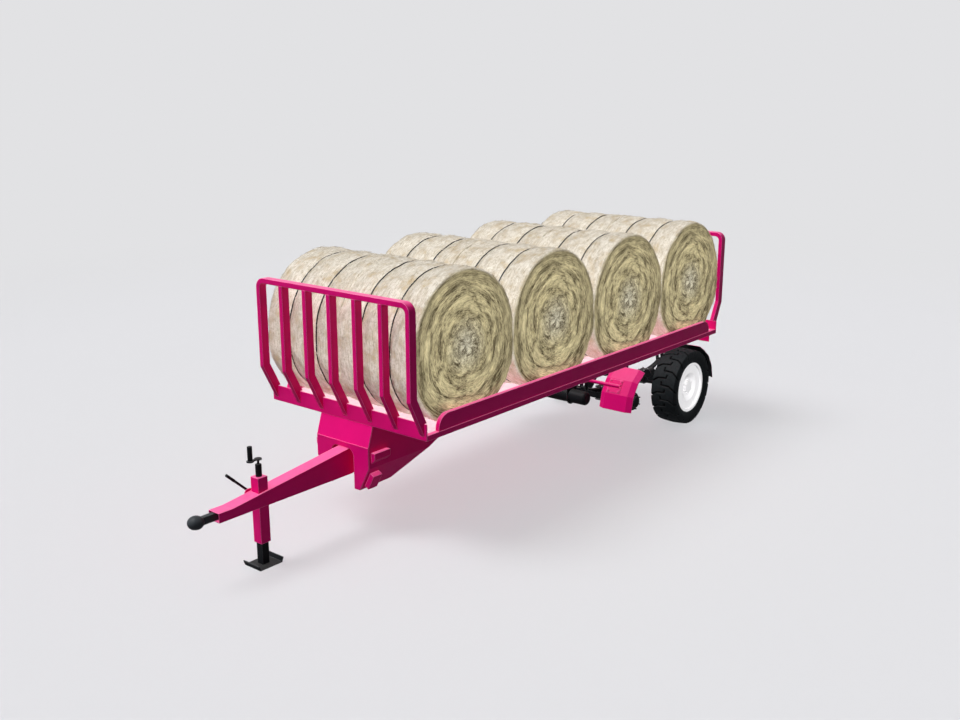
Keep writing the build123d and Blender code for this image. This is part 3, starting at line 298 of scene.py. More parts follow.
def shell(points, wrap_rows=False, wrap_columns=True, poles=False):
    """Triangles over a grid of points, two to a cell.

    poles draw the first and last rows together to one point each. Returns the points in use, the triangles
    and the grid numbers of those points.
    """
    rows, columns = points.shape[:2]
    index = np.arange(rows * columns).reshape(rows, columns)
    if poles:
        index[0] = index[0, 0]
        index[-1] = index[-1, 0]
    right = np.roll(index, -1, axis=1)
    below = np.roll(index, -1, axis=0)
    across = np.roll(below, -1, axis=1)
    cells = np.stack([np.stack([index, right, across], -1), np.stack([index, across, below], -1)], axis=2)
    cells = cells[:rows if wrap_rows else rows - 1, :columns if wrap_columns else columns - 1].reshape(-1, 3)
    whole = (cells[:, 0] != cells[:, 1]) & (cells[:, 1] != cells[:, 2]) & (cells[:, 2] != cells[:, 0])
    used, packed = np.unique(cells[whole], return_inverse=True)
    return points.reshape(-1, 3)[used], packed.reshape(-1, 3), used


def outward(points, triangles):
    """The triangles, turned round if the volume that they close comes out negative."""
    a, b, c = (points[triangles[:, i]] for i in range(3))
    return triangles if np.einsum("ij,ij->", a, np.cross(b, c)) > 0 else triangles[:, ::-1]


def joined(shells):
    """Several (points, triangles) pairs as one pair, each turned outwards, with the numbers moved along."""
    starts = np.cumsum([0] + [len(points) for points, _ in shells[:-1]])
    triangles = [outward(points - points.mean(axis=0), triangles) for points, triangles in shells]
    return (np.concatenate([points for points, _ in shells]),
            np.concatenate([part + start for part, start in zip(triangles, starts)]))


def make_piece(name, points, triangles, finish, body, flat_angle=None):
    """A mesh object from whole arrays, riding on a body; edges sharper than flat_angle stay crisp."""
    mesh = bpy.data.meshes.new(name)
    triangles = np.ascontiguousarray(outward(points - points.mean(axis=0), triangles), dtype=np.int32)
    mesh.vertices.add(len(points))
    mesh.vertices.foreach_set("co", np.ascontiguousarray(points, dtype=np.float32).ravel())
    mesh.loops.add(triangles.size)
    mesh.loops.foreach_set("vertex_index", triangles.ravel())
    mesh.polygons.add(len(triangles))
    mesh.polygons.foreach_set("loop_start", np.arange(0, triangles.size, 3, dtype=np.int32))
    mesh.update(calc_edges=True)
    mesh.shade_smooth()
    if flat_angle is not None:
        mesh.set_sharp_from_angle(angle=math.radians(flat_angle))
    mesh.materials.append(finish_named(finish))
    piece = bpy.data.objects.new(name, mesh)
    bpy.context.scene.collection.objects.link(piece)
    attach(piece, body)
    return piece


def set_point_values(piece, name, values):
    """Store one number for each point of a piece, for its finish to read."""
    piece.data.attributes.new(name, "FLOAT", "POINT").data.foreach_set("value", values.astype(np.float32))


def lattice_noise(points, size, seed):
    """Smooth noise from -1 to 1: random values on a lattice of that cell size, blended by cubic steps."""
    cell = points / size
    low = np.floor(cell).astype(np.int64)
    step = cell - low
    step = step * step * (3 - 2 * step)
    total = np.zeros(points.shape[:-1])
    for corner in range(8):
        offset = np.array([(corner >> axis) & 1 for axis in range(3)])
        key = (low + offset) * np.array([73856093, 19349663, 83492791])
        mixed = key[..., 0] ^ key[..., 1] ^ key[..., 2] ^ (seed * 40503)
        mixed = ((mixed ^ (mixed >> 13)) * 1274126177) & 0xFFFFFFFF
        value = ((mixed ^ (mixed >> 16)) & 0xFFFF) / 32767.5 - 1
        total += np.prod(np.where(offset, step, 1 - step), axis=-1) * value
    return total


def turned(profile, centre, axis, steps, turn=0.0):
    """A closed turned form: (radius, along) pairs carried round the axis, on which the profile's ends lie."""
    axis = np.asarray(axis, float)
    across = np.cross(axis, (0.0, 0.0, 1.0) if abs(axis[2]) < 0.9 else (1.0, 0.0, 0.0))
    across /= np.linalg.norm(across)
    third = np.cross(axis, across)
    angle = turn + np.arange(steps) * TAU / steps
    ring = np.cos(angle)[:, None] * across + np.sin(angle)[:, None] * third
    profile = np.asarray(profile, float)
    points = np.asarray(centre) + profile[:, None, :1] * ring + profile[:, None, 1:] * axis
    return shell(points, poles=True)[:2]


def hex_nut(centre, axis, size, height, turn=0.0):
    """A hexagon nut: a turned profile whose radius is a hexagon's support distance, chamfered at its top.

    size is the distance across the flats.
    """
    axis = np.asarray(axis, float)
    across = np.cross(axis, (0.0, 0.0, 1.0) if abs(axis[2]) < 0.9 else (1.0, 0.0, 0.0))
    across /= np.linalg.norm(across)
    third = np.cross(axis, across)
    angle = turn + np.arange(24) * TAU / 24
    hexagon = size / 2 / np.cos((angle + TAU / 12) % (TAU / 6) - TAU / 12)
    round_top = size / 2 * 1.02
    radius = np.stack([np.zeros(24), hexagon, hexagon, np.minimum(hexagon, round_top),
                       np.full(24, round_top * 0.8), np.zeros(24)])
    along = np.array([0, 0, 0.82, 1.0, 1.02, 1.02]) * height
    ring = np.cos(angle)[:, None] * across + np.sin(angle)[:, None] * third
    points = np.asarray(centre) + radius[:, :, None] * ring + along[:, None, None] * axis
    return shell(points, poles=True)[:2]


def bead(path, up, radius, pitch, closed=False):
    """A weld bead: a round section carried along a path, its radius swelling once per ripple pitch.

    path is (n, 3); up is a direction that is never along it.
    """
    path = np.asarray(path, float)
    ahead = np.roll(path, -1, axis=0) - np.roll(path, 1, axis=0)
    if not closed:
        ahead[0] = path[1] - path[0]
        ahead[-1] = path[-1] - path[-2]
    ahead /= np.linalg.norm(ahead, axis=1, keepdims=True)
    side = np.cross(ahead, np.asarray(up, float))
    side /= np.linalg.norm(side, axis=1, keepdims=True)
    over = np.cross(side, ahead)
    run = np.concatenate([[0], np.cumsum(np.linalg.norm(np.diff(path, axis=0), axis=1))])
    swell = radius * (0.85 + 0.3 * np.abs(np.sin(math.pi * run / pitch)))
    angle = np.arange(8) * TAU / 8
    section = np.cos(angle)[None, :, None] * side[:, None] + np.sin(angle)[None, :, None] * over[:, None]
    points = path[:, None] + swell[:, None, None] * section
    if closed:
        return shell(points, wrap_rows=True)[:2]
    first, last = np.repeat(path[:1, None], 8, axis=1), np.repeat(path[-1:, None], 8, axis=1)
    points = np.concatenate([first, points, last])
    return shell(points, poles=True)[:2]


def straight(start, end, spacing):
    """Evenly spaced points from start to end."""
    start, end = np.asarray(start, float), np.asarray(end, float)
    count = max(2, int(np.linalg.norm(end - start) / spacing) + 1)
    return start + np.linspace(0, 1, count)[:, None] * (end - start)


def body_of_node(node):
    """The name of the body that carries a node."""
    return next(body for body, nodes in frame["record"]["behaviour"]["bodies"].items() if node in nodes)


# Settings that a user may change

class PaintSettings(bpy.types.PropertyGroup):
    """Colours of the finishes, as sRGB hex text."""

    steel: StringProperty(name="Steel", description="Powder coat on the frame, gates and drawbar",
                          default="#DE0A75")
    # The pale line along the steel's edges is a painted highlight.
    steel_edge_highlight: StringProperty(name="Steel edge", description="The film on its edges", default="#FF86BE")
    # Level steel takes this colour as dust and partly as painted top light.
    steel_dust_and_top_light: StringProperty(name="Dust", description="Dust that lies on level steel", default="#FFBCE2")
    # The deck's top takes this colour as chaff and painted top light.
    deck_chaff_and_top_light: StringProperty(name="Deck dust", description="Chaff that lies on the deck", default="#EEDDE4")
    running_gear: StringProperty(name="Running gear", description="Black paint on axles and jack",
                                 default="#191B1E")
    # The cast head's grey is a painted sheen that makes it lighter than the black running gear.
    coupling_painted_sheen: StringProperty(name="Coupling", description="Grey paint on the cast head", default="#373B3F")
    # The pale line along the black paint's edges is a painted highlight.
    gear_edge_highlight: StringProperty(name="Gear edge", description="Black paint on its edges", default="#55585B")
    gear_dust: StringProperty(name="Gear dust", description="Dust on the black paint", default="#4C4A47")
    rim: StringProperty(name="Rim", description="White enamel on the wheel rims", default="#E4E3E4")
    rim_dust: StringProperty(name="Rim dust", description="Dust on the enamel", default="#C9C3B8")
    rubber: StringProperty(name="Rubber", description="Tyre rubber", default="#1F2426")
    # Painted shade for the bottoms and walls of the tread's grooves.
    rubber_groove_shade: StringProperty(name="Groove", description="Rubber in the grooves", default="#060607")
    rubber_dust: StringProperty(name="Tyre dust", description="Dust on the tyres", default="#454A4D")
    straw: StringProperty(name="Straw", description="Bleached straw on the barrel", default="#DDD6CA")
    straw_shadow: StringProperty(name="Straw shadow", description="Gaps between stalks", default="#B2A692")
    straw_brown: StringProperty(name="Brown straw", description="Weathered patches", default="#BEA780")
    straw_end: StringProperty(name="Cut ends", description="Straw on the flat ends", default="#D8CB9E")
    straw_end_shadow: StringProperty(name="Cut end shadow", description="Gaps at the ends", default="#4E4430")
    straw_heart: StringProperty(name="Heart", description="Straw at the middle of the ends",
                                default="#DED9C4")
    twine: StringProperty(name="Twine", description="Plastic twine round the bales", default="#0A0B0D")
    zinc: StringProperty(name="Zinc", description="Plated nuts and bolts", default="#C6C8CB")
    lens: StringProperty(name="Lens", description="Tail lamp lens", default="#A80F14")


class BaleSettings(bpy.types.PropertyGroup):
    """Form of a round bale."""

    rim: FloatProperty(name="Rim", description="Rounding of the outer rim", default=0.045, unit="LENGTH")
    seam: FloatProperty(name="Seam", description="Rounding where a pair meets", default=0.007, unit="LENGTH")
    swell: FloatProperty(name="Swell", description="Height of the three swells", default=0.036, unit="LENGTH")
    first_twine: FloatProperty(name="First twine", description="From the pair's joint", default=0.345,
                               unit="LENGTH")
    second_twine: FloatProperty(name="Second twine", description="From the pair's joint", default=0.80,
                                unit="LENGTH")
    lump: FloatProperty(name="Lump", description="Unevenness of the packed straw", default=0.011,
                        unit="LENGTH")
    sag: FloatProperty(name="Sag", description="Spread of the lower half", default=0.05, unit="LENGTH")
    twine: FloatProperty(name="Twine", description="Radius of a twine band", default=0.009, unit="LENGTH")
    press: FloatProperty(name="Press", description="Depth pressed flat on the deck", default=0.012,
                         unit="LENGTH")
    round_steps: IntProperty(name="Steps round", description="Points round a bale", default=224)
    stalks: IntProperty(name="Loose stalks", description="Stalks that stand off each bale", default=1400)


class TyreSettings(bpy.types.PropertyGroup):
    """Tread of the tyres."""

    pitches: IntProperty(name="Pitches", description="Grooves on each half of the tread", default=16)
    groove_depth: FloatProperty(name="Groove depth", description="Depth of a groove", default=0.021,
                                unit="LENGTH")
    groove_width: FloatProperty(name="Groove width", description="Width of a groove", default=0.021,
                                unit="LENGTH")
    round_steps: IntProperty(name="Steps round", description="Points round a tyre", default=768)


class StageSettings(bpy.types.PropertyGroup):
    """Camera, light and floor."""

    azimuth: FloatProperty(name="Azimuth", description="Camera's bearing", default=math.radians(129.38),
                           unit="ROTATION")
    elevation: FloatProperty(name="Elevation", description="Camera's height angle",
                             default=math.radians(14.59), unit="ROTATION")
    lens: FloatProperty(name="Lens", description="Focal length on a 36 mm wide sensor", default=39.29)
    floor: StringProperty(name="Floor", description="Floor as the camera sees it", default="#C6C6C9")
    wall: StringProperty(name="Wall", description="Backdrop as the camera sees it", default="#E2E2E4")
    shade: StringProperty(name="Shade", description="Floor as the trailer sees it", default="#77777A")
    key: FloatProperty(name="Key", description="Strength of the key light", default=1.1)
    open_key: FloatProperty(name="Open key", description="Strength of the key light's shadowless share",
                            default=3.4)
    key_spread: FloatProperty(name="Key spread", description="How wide the key light is",
                              default=math.radians(28), unit="ROTATION")
    fill: FloatProperty(name="Fill", description="Strength of the light on straw and rims", default=4.0)
    far_fill: FloatProperty(name="Far fill", description="Strength of the fill from the far side",
                            default=2.2)
    fill_spread: FloatProperty(name="Fill spread", description="How wide the fills are",
                               default=math.radians(40), unit="ROTATION")
    surround: FloatProperty(name="Surround", description="Strength of the light from all round",
                            default=0.145)


# Where the camera stands, and the ways that the lights shine
CAMERA_PLACE = (10.136, 8.398, 4.974)
KEY_WAY = (-0.42, 0.42, -1.0)
FILL_WAY = (-0.6, -0.66, -0.46)
FAR_FILL_WAY = (0.66, 0.74, -0.1)

# Sizes of the solids that the fasteners and welds sit on
STUD_COUNT, STUD_CIRCLE_RADIUS = 6, 0.1025
NUT_FLATS, BOLT_FLATS, LAMP_NUT_FLATS = 0.027, 0.026, 0.017
CAP_NUT_HEIGHT, CAP_NUT_SEAT = 0.037, 0.036
CLAMP_ROD_ALONG, CLAMP_ROD_ACROSS, CLAMP_ROD_END = 0.062, 0.047, 0.014
SPRING_PLACE = 0.348
GUARD_TILT, GUARD_RADIUS, GUARD_PLACE = math.radians(33), 0.6462, 0.9045
SADDLE_BOLT_ALONG, SADDLE_BOLT_ACROSS = 0.075, 0.08
LAMP_PLACE, LAMP_BOLT_ACROSS, LAMP_BOLT_DROP = 1.01, 0.125, 0.02
GATE_BAR_COUNT, GATE_BAR_HALF, GATE_BAR_DEPTH = 5, 0.03, 0.1

# Sizes of the lumps, spiral ridges and stalks of a bale
LARGE_LUMP, SMALL_LUMP, SPIRAL_PITCH, SPIRAL_DEPTH = 0.24, 0.085, 0.12, 0.006
TOP_PLAY = 0.012
STALK_RADIUS = 0.0028


# Operators, one for each piece or group of like pieces

class TRAILER_OT_paint(bpy.types.Operator):
    """Make the finishes and give every node of the model its own"""
    bl_idname = "trailer.paint"
    bl_label = "Paint the steel"

    def execute(self, context):
        paint = context.scene.trailer_paint
        # The edge colours are painted highlights. The pale colour on level pink steel and on the deck is
        # partly painted top light.
        powder_coat("powder_coated_steel", paint.steel, paint.steel_edge_highlight, paint.steel_dust_and_top_light, 0.26, 0.36)
        powder_coat("deck_paint_chaff_and_top_light", paint.steel, paint.steel_edge_highlight, paint.deck_chaff_and_top_light, 1.0, 0.4)
        powder_coat("chassis_black_paint", paint.running_gear, paint.gear_edge_highlight, paint.gear_dust, 0.3, 0.48)
        # The coupling head is painted a lighter grey as a painted sheen.
        powder_coat("cast_head_painted_sheen", paint.coupling_painted_sheen, paint.gear_edge_highlight, paint.gear_dust, 0.2, 0.4)
        powder_coat("white_rim_enamel", paint.rim, paint.rim, paint.rim_dust, 0.2, 0.32)
        for name in ("front", "rear"):
            low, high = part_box(f"axle_{name}")
            axle = tuple((a + b) / 2 for a, b in zip(low, high))
            powder_coat(f"guard_paint_{name}", paint.steel, paint.steel_edge_highlight, paint.steel_dust_and_top_light, 0.3, 0.36,
                        hollow=(paint.running_gear, axle))
        small_part("red_lamp_lens", paint.lens, 0.12, 0.0, 0.012, 0.1)
        small_part("zinc_plated_steel", paint.zinc, 0.45, 0.4, 0.006, 0.12)
        small_part("black_twine", paint.twine, 0.5, 0.0, 0.008, 0.2)
        # The groove colour is painted shade in the tread's grooves.
        tyre_rubber("vulcanised_rubber", paint.rubber, paint.rubber_groove_shade, paint.rubber_dust)
        baled_straw("baled_straw", paint.straw, paint.straw_shadow, paint.straw_brown, paint.straw_end,
                    paint.straw_end_shadow, paint.straw_heart)
        finish_of_slot = {
            "pink_paint": "powder_coated_steel", "black_paint": "chassis_black_paint",
            "white_paint": "white_rim_enamel", "tyre_rubber": "vulcanised_rubber",
            "red_lens": "red_lamp_lens", "straw": "baled_straw",
        }
        finish_of_node = {
            "deck_plate": "deck_paint_chaff_and_top_light", "mudguards_front": "guard_paint_front",
            "mudguards_rear": "guard_paint_rear", "coupling_head": "cast_head_painted_sheen",
        }
        for part in frame["record"]["subparts"]:
            finish = finish_of_node.get(part["node"], finish_of_slot[part["material_slot"]])
            for holder in frame["nodes"][part["node"]].material_slots:
                holder.material = finish_named(finish)
        return {"FINISHED"}


def bale_outline(width, radius, settings):
    """A bale's outline as (radius, along) rows, from the middle of its inner end to that of its outer end.

    Flat end, quarter-round rim, then a barrel of swells that the twine draws in: the radius less the swell's
    height times one minus the root of the size of a sine, which is nought at the twine. The swell at the
    inner end is mirrored in the pair's joint.
    """
    seam, rim = settings.seam, settings.rim
    knots = (-settings.first_twine, settings.first_twine, settings.second_twine, 1.07 * width)
    along = seam + np.linspace(0, 1, 73)[1:-1] * (width - seam - rim)
    wave = np.zeros_like(along)
    for start, end in zip(knots[:-1], knots[1:]):
        phase = (along - start) / (end - start)
        wave = np.where((phase >= 0) & (phase <= 1), np.abs(np.sin(math.pi * phase)) ** 0.5, wave)
    barrel = np.stack([radius - settings.swell * (1 - wave), along], axis=-1)
    turn = np.linspace(0, TAU / 4, 7)
    ends = []
    for rounding, crest in ((seam, barrel[0, 0]), (rim, barrel[-1, 0])):
        inner = crest - rounding
        cap = np.stack([np.linspace(0, inner, 26)[:-1], np.zeros(25)], axis=-1)
        corner = np.stack([inner + rounding * np.sin(turn), rounding * (1 - np.cos(turn))], axis=-1)
        ends.append(np.concatenate([cap, corner]))
    outline = np.concatenate([ends[0], barrel, ends[1][::-1] * (1, -1) + (0, width)])
    hidden = np.concatenate([np.ones(25), np.zeros(7)])
    shown = np.concatenate([np.ones(25), np.cos(turn) ** 2])
    return outline, np.concatenate([hidden, np.zeros(len(barrel)), shown[::-1]])


def bale_skin(low, high, settings, seed):
    """Surface of one bale on a grid of (outline, angle), with its map and its shares of end and reach.

    Each point of the outline moves along its own normal by lumps of straw at three sizes and by shallow
    spiral ridges on the ends. The lower half spreads by the sag times the size of the sine of twice the
    angle, and all is held inside the bale's box, but for a little play at the top, so that it lies flat on
    the deck and on its neighbours.
    """
    radius = (high[2] - low[2] + settings.press) / 2
    side = 1.0 if low[1] + high[1] > 0 else -1.0
    centre = np.array([(low[0] + high[0]) / 2, low[1] if side > 0 else high[1], high[2] - radius])
    outline, end = bale_outline(high[1] - low[1], radius, settings)
    ahead = np.gradient(outline, axis=0)
    normal = np.stack([ahead[:, 1], -ahead[:, 0]], axis=-1)
    normal /= np.linalg.norm(normal, axis=1, keepdims=True)
    run = np.concatenate([[0], np.cumsum(np.linalg.norm(np.diff(outline, axis=0), axis=1))])
    angle = -TAU / 4 + np.arange(settings.round_steps) * TAU / settings.round_steps
    ring = np.stack([np.cos(angle), np.zeros_like(angle), np.sin(angle)], axis=-1)
    along = np.array([0.0, side, 0.0])
    plain = outline[:, None, :1] * ring + outline[:, None, 1:] * along
    round_the_roll = np.stack(np.broadcast_arrays(
        np.cos(angle) * radius / 0.3, np.sin(angle) * radius / 0.3, run[:, None] / 0.035), axis=-1)
    move = settings.lump * (lattice_noise(plain, LARGE_LUMP, seed)
                            + 0.5 * lattice_noise(plain, SMALL_LUMP, seed + 1)
                            + 0.4 * lattice_noise(round_the_roll, 1.0, seed + 2) - 0.3)
    spiral = np.sin(TAU * outline[:, :1] / SPIRAL_PITCH + angle * 2 + 2 * lattice_noise(plain, 0.3, seed + 3))
    move = move + end[:, None] * SPIRAL_DEPTH * (spiral - 1)
    profile = outline[:, None, :] + move[:, :, None] * normal[:, None, :]
    profile[..., 0] *= 1 + settings.sag / radius * np.abs(np.sin(2 * angle)) * (np.sin(angle) < 0)
    profile[0, :] = profile[0].mean(axis=0)
    profile[-1, :] = profile[-1].mean(axis=0)
    points = centre + np.maximum(profile[:, :, :1], 0) * ring + profile[:, :, 1:] * along
    points = np.clip(points, low, np.array(high) + np.array([0.0, 0.0, TOP_PLAY]))
    outward_way = normal[:, None, :1] * ring + normal[:, None, 1:] * along
    wrap = np.stack(np.broadcast_arrays(angle * radius, run[:, None]), axis=-1)
    shares = np.stack([end, outline[:, 0] / radius], axis=-1)
    return points, outward_way, wrap, np.repeat(shares[:, None], len(angle), axis=1), ring


def loose_stalks(points, outward_way, wrap, shares, ring, count, rng):
    """Stalks that stand off a bale: thin spindles of two tips and a ring of three, along the roll's own way.

    A stalk starts from a random grid point, turns a random way off the winding, and lifts more at its tips.
    """
    rows = rng.integers(6, points.shape[0] - 6, count)
    columns = rng.integers(0, points.shape[1], count)
    base, lift_way = points[rows, columns], outward_way[rows, columns]
    tangent = np.cross(np.broadcast_to((0.0, 1.0, 0.0), (count, 3)), ring[columns])
    sideways = np.cross(lift_way, tangent)
    turn = rng.normal(0, 0.45, count)[:, None]
    way = np.cos(turn) * tangent + np.sin(turn) * sideways
    half = rng.uniform(0.03, 0.085, count)[:, None]
    lifts = rng.uniform(0.0, 0.02, (2, count, 1))
    tips = np.stack([base - way * half + lift_way * lifts[0],
                     base + way * half + lift_way * lifts[1]], axis=1)
    around = np.arange(3) * TAU / 3
    side = np.cross(way, lift_way)
    waist = (base + lift_way * 0.002)[:, None] + STALK_RADIUS * (
        np.cos(around)[:, None] * lift_way[:, None] + np.sin(around)[:, None] * side[:, None])
    spindles = np.concatenate([tips, waist], axis=1)
    faces = np.array([(0, 3, 2), (0, 4, 3), (0, 2, 4), (1, 2, 3), (1, 3, 4), (1, 4, 2)])
    triangles = (np.arange(count)[:, None, None] * 5 + faces).reshape(-1, 3)
    shift = np.array([[-0.05, 0], [0.05, 0], [0, 0], [0, 0.002], [0, -0.002]])
    map_points = (wrap[rows, columns][:, None] + shift).reshape(-1, 2)
    stalk_shares = np.repeat(shares[rows, columns], 5, axis=0)
    return spindles.reshape(-1, 3), triangles, map_points, stalk_shares


class TRAILER_OT_bales(bpy.types.Operator):
    """Roll the bales, with their loose stalks and twine, in the places of the plain ones"""
    bl_idname = "trailer.bales"
    bl_label = "Lay the bales"

    def execute(self, context):
        settings = context.scene.trailer_bales
        nodes = sorted(node for node in frame["nodes"] if node.startswith("bale_"))
        if not nodes:
            raise RuntimeError("the model has no bales")
        for number, node in enumerate(nodes):
            low, high = (np.array(corner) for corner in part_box(node))
            rng = np.random.default_rng(100 + number)
            skin, outward_way, wrap, shares, ring = bale_skin(low, high, settings, 10 * number + 1)
            points, triangles, used = shell(skin, poles=True)
            stalks = loose_stalks(skin, outward_way, wrap, shares, ring, settings.stalks, rng)
            points, triangles = joined([(points, triangles), stalks[:2]])
            map_points = np.concatenate([wrap.reshape(-1, 2)[used], stalks[2]])
            piece = make_piece(f"straw_{node}", points, triangles, "baled_straw", body_of_node(node))
            shares = np.concatenate([shares.reshape(-1, 2)[used], stalks[3]])
            set_point_values(piece, "end", shares[:, 0])
            set_point_values(piece, "reach", shares[:, 1])
            self.map_straw(piece, map_points, (high[2] - low[2]) * TAU / 2)
            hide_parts(node)
            self.tie(node, skin, settings)
        return {"FINISHED"}

    def map_straw(self, piece, map_points, girth):
        """Corner UVs in metres; a triangle over the seam has its low corners moved on by the girth."""
        corners = np.zeros(len(piece.data.loops), dtype=np.int32)
        piece.data.loops.foreach_get("vertex_index", corners)
        uv = map_points[corners].reshape(-1, 3, 2)
        across = np.ptp(uv[..., 0], axis=1) > girth / 2
        uv[..., 0] += girth * (across[:, None] & (uv[..., 0] < uv[..., 0].mean(axis=1, keepdims=True)))
        piece.data.uv_layers.new(name="wrap").data.foreach_set("uv", uv.astype(np.float32).ravel())

    def tie(self, node, skin, settings):
        """Two twine bands: rings that follow the skin in the hollows between the swells."""
        low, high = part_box(node)
        side = 1.0 if low[1] + high[1] > 0 else -1.0
        joint = low[1] if side > 0 else high[1]
        rings = []
        for place in (joint + side * settings.first_twine, joint + side * settings.second_twine):
            row = np.argmin(np.abs(skin[32:-32, :, 1].mean(axis=1) - place)) + 32
            loop = skin[row].copy()
            loop[:, 1] = place
            rings.append(bead(loop, (0, 1, 0), settings.twine, 0.05, closed=True))
        points, triangles = joined(rings)
        make_piece(f"twine_{node}", points, triangles, "black_twine", body_of_node(node))


def arc(start, through, end, count):
    """Points on the circle through three points of a plane, from the first to the last."""
    a, b, c = (np.array(p, float) for p in (start, through, end))
    centre = np.linalg.solve(2 * np.array([b - a, c - a]), np.array([b @ b - a @ a, c @ c - a @ a]))
    angles = np.unwrap([math.atan2(*(p - centre)[::-1]) for p in (a, b, c)])
    sweep = np.linspace(angles[0], angles[2], count)
    return centre + np.linalg.norm(a - centre) * np.stack([np.cos(sweep), np.sin(sweep)], axis=-1)


def groove_depths(across, round_run, pitch, width):
    """Share of the groove's depth, 0 to 1, on a grid of places across the tread and round it, in metres.

    Each half has one hooked groove per pitch, the halves half a pitch apart: from the shoulder it climbs
    inwards, runs level past the middle and hooks on. The share falls off smoothly with the distance from it.
    """
    line = np.array([(0.245, -0.03), (0.19, 0.0), (0.10, 0.058), (-0.028, 0.066), (-0.034, 0.112)])
    nearest = np.full(np.broadcast_shapes(across.shape, round_run.shape), 1.0)
    for half, offset in ((1, 0.0), (-1, pitch / 2)):
        for copy in (-1, 0, 1):
            place = np.stack(np.broadcast_arrays(
                half * across, (round_run - offset) % pitch + copy * pitch - pitch / 4), axis=-1)
            for start, end in zip(line[:-1], line[1:]):
                step = end - start
                share = np.clip((place - start) @ step / (step @ step), 0, 1)
                gap = np.linalg.norm(place - start - share[..., None] * step, axis=-1)
                nearest = np.minimum(nearest, gap)
    edge = np.clip((width / 2 + 0.004 - nearest) / 0.006, 0, 1)
    return edge * edge * (3 - 2 * edge)


class TRAILER_OT_tyres(bpy.types.Operator):
    """Mould the tyres with their hooked tread, in the places of the plain ones"""
    bl_idname = "trailer.tyres"
    bl_label = "Mould the tyres"

    def execute(self, context):
        settings = context.scene.trailer_tyres
        for side_name, side in SIDES:
            node = f"tyre_{side_name}"
            low, high = (np.array(corner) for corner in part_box(node))
            centre = (low + high) / 2
            radius, half = (high[2] - low[2]) / 2, (high[1] - low[1]) / 2
            skin, groove = self.skin(radius, half, settings)
            skin[..., 1] *= side
            points, triangles, used = shell(skin + centre, wrap_rows=True)
            piece = make_piece(node + "_tread", points, triangles, "vulcanised_rubber", body_of_node(node))
            # The groove share is tripled so that the groove walls also take the painted shade.
            set_point_values(piece, "groove", np.clip(3 * groove.ravel()[used], 0, 1))
            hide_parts(node)
        return {"FINISHED"}

    def skin(self, radius, half, settings):
        """A closed ring: the tyre's section carried round the axle, let in by grooves along its normal."""
        lip, flange, seat, bead_half = 0.3783, 0.172, 0.3503, 0.1597
        shoulder, tread_half, bulge = radius - 0.014, half - 0.014, radius - 0.094
        wall = arc((lip, flange), (bulge, half), (shoulder, tread_half), 22)
        crown = arc((shoulder, tread_half), (radius, 0), (shoulder, -tread_half), 63)[1:-1]
        toe = np.array([(lip, -flange), (lip, -bead_half), (seat, -bead_half), (seat, bead_half),
                        (lip, bead_half)])
        section = np.concatenate([wall, crown, (wall * (1, -1))[::-1][:-1], toe])
        outer = len(section) - len(toe)
        run = np.concatenate([[0], np.cumsum(np.linalg.norm(np.diff(section[:outer], axis=0), axis=1))])
        across = np.full(len(section), 1.0)
        across[:outer] = run[-1] / 2 - run
        ahead = np.gradient(section, axis=0)
        normal = np.stack([-ahead[:, 1], ahead[:, 0]], axis=-1)
        normal /= np.linalg.norm(normal, axis=1, keepdims=True)
        angle = np.arange(settings.round_steps) * TAU / settings.round_steps
        pitch = TAU * radius / settings.pitches
        share = groove_depths(across[:, None], angle[None] * radius, pitch, settings.groove_width)
        fade = np.clip((0.255 - np.abs(across)) / 0.04, 0, 1)[:, None]
        notch = 1 + 0.45 * np.clip((np.abs(across) - 0.12) / 0.06, 0, 1)[:, None]
        rib = 0.0025 * (np.abs(section[:, :1] - lip - 0.022) < 0.006)
        move = rib - settings.groove_depth * notch * share * fade
        profile = section[:, None] + move[..., None] * normal[:, None]
        points = np.stack([profile[..., 0] * np.cos(angle), profile[..., 1],
                           profile[..., 0] * np.sin(angle)], axis=-1)
        return points, share * fade


def places_round(centre, radius, count, first):
    """Points spaced evenly on a circle about the axle's direction, +Y."""
    angle = math.radians(first) + np.arange(count) * TAU / count
    return np.asarray(centre) + radius * np.stack([np.cos(angle), np.zeros(count), np.sin(angle)], axis=-1)


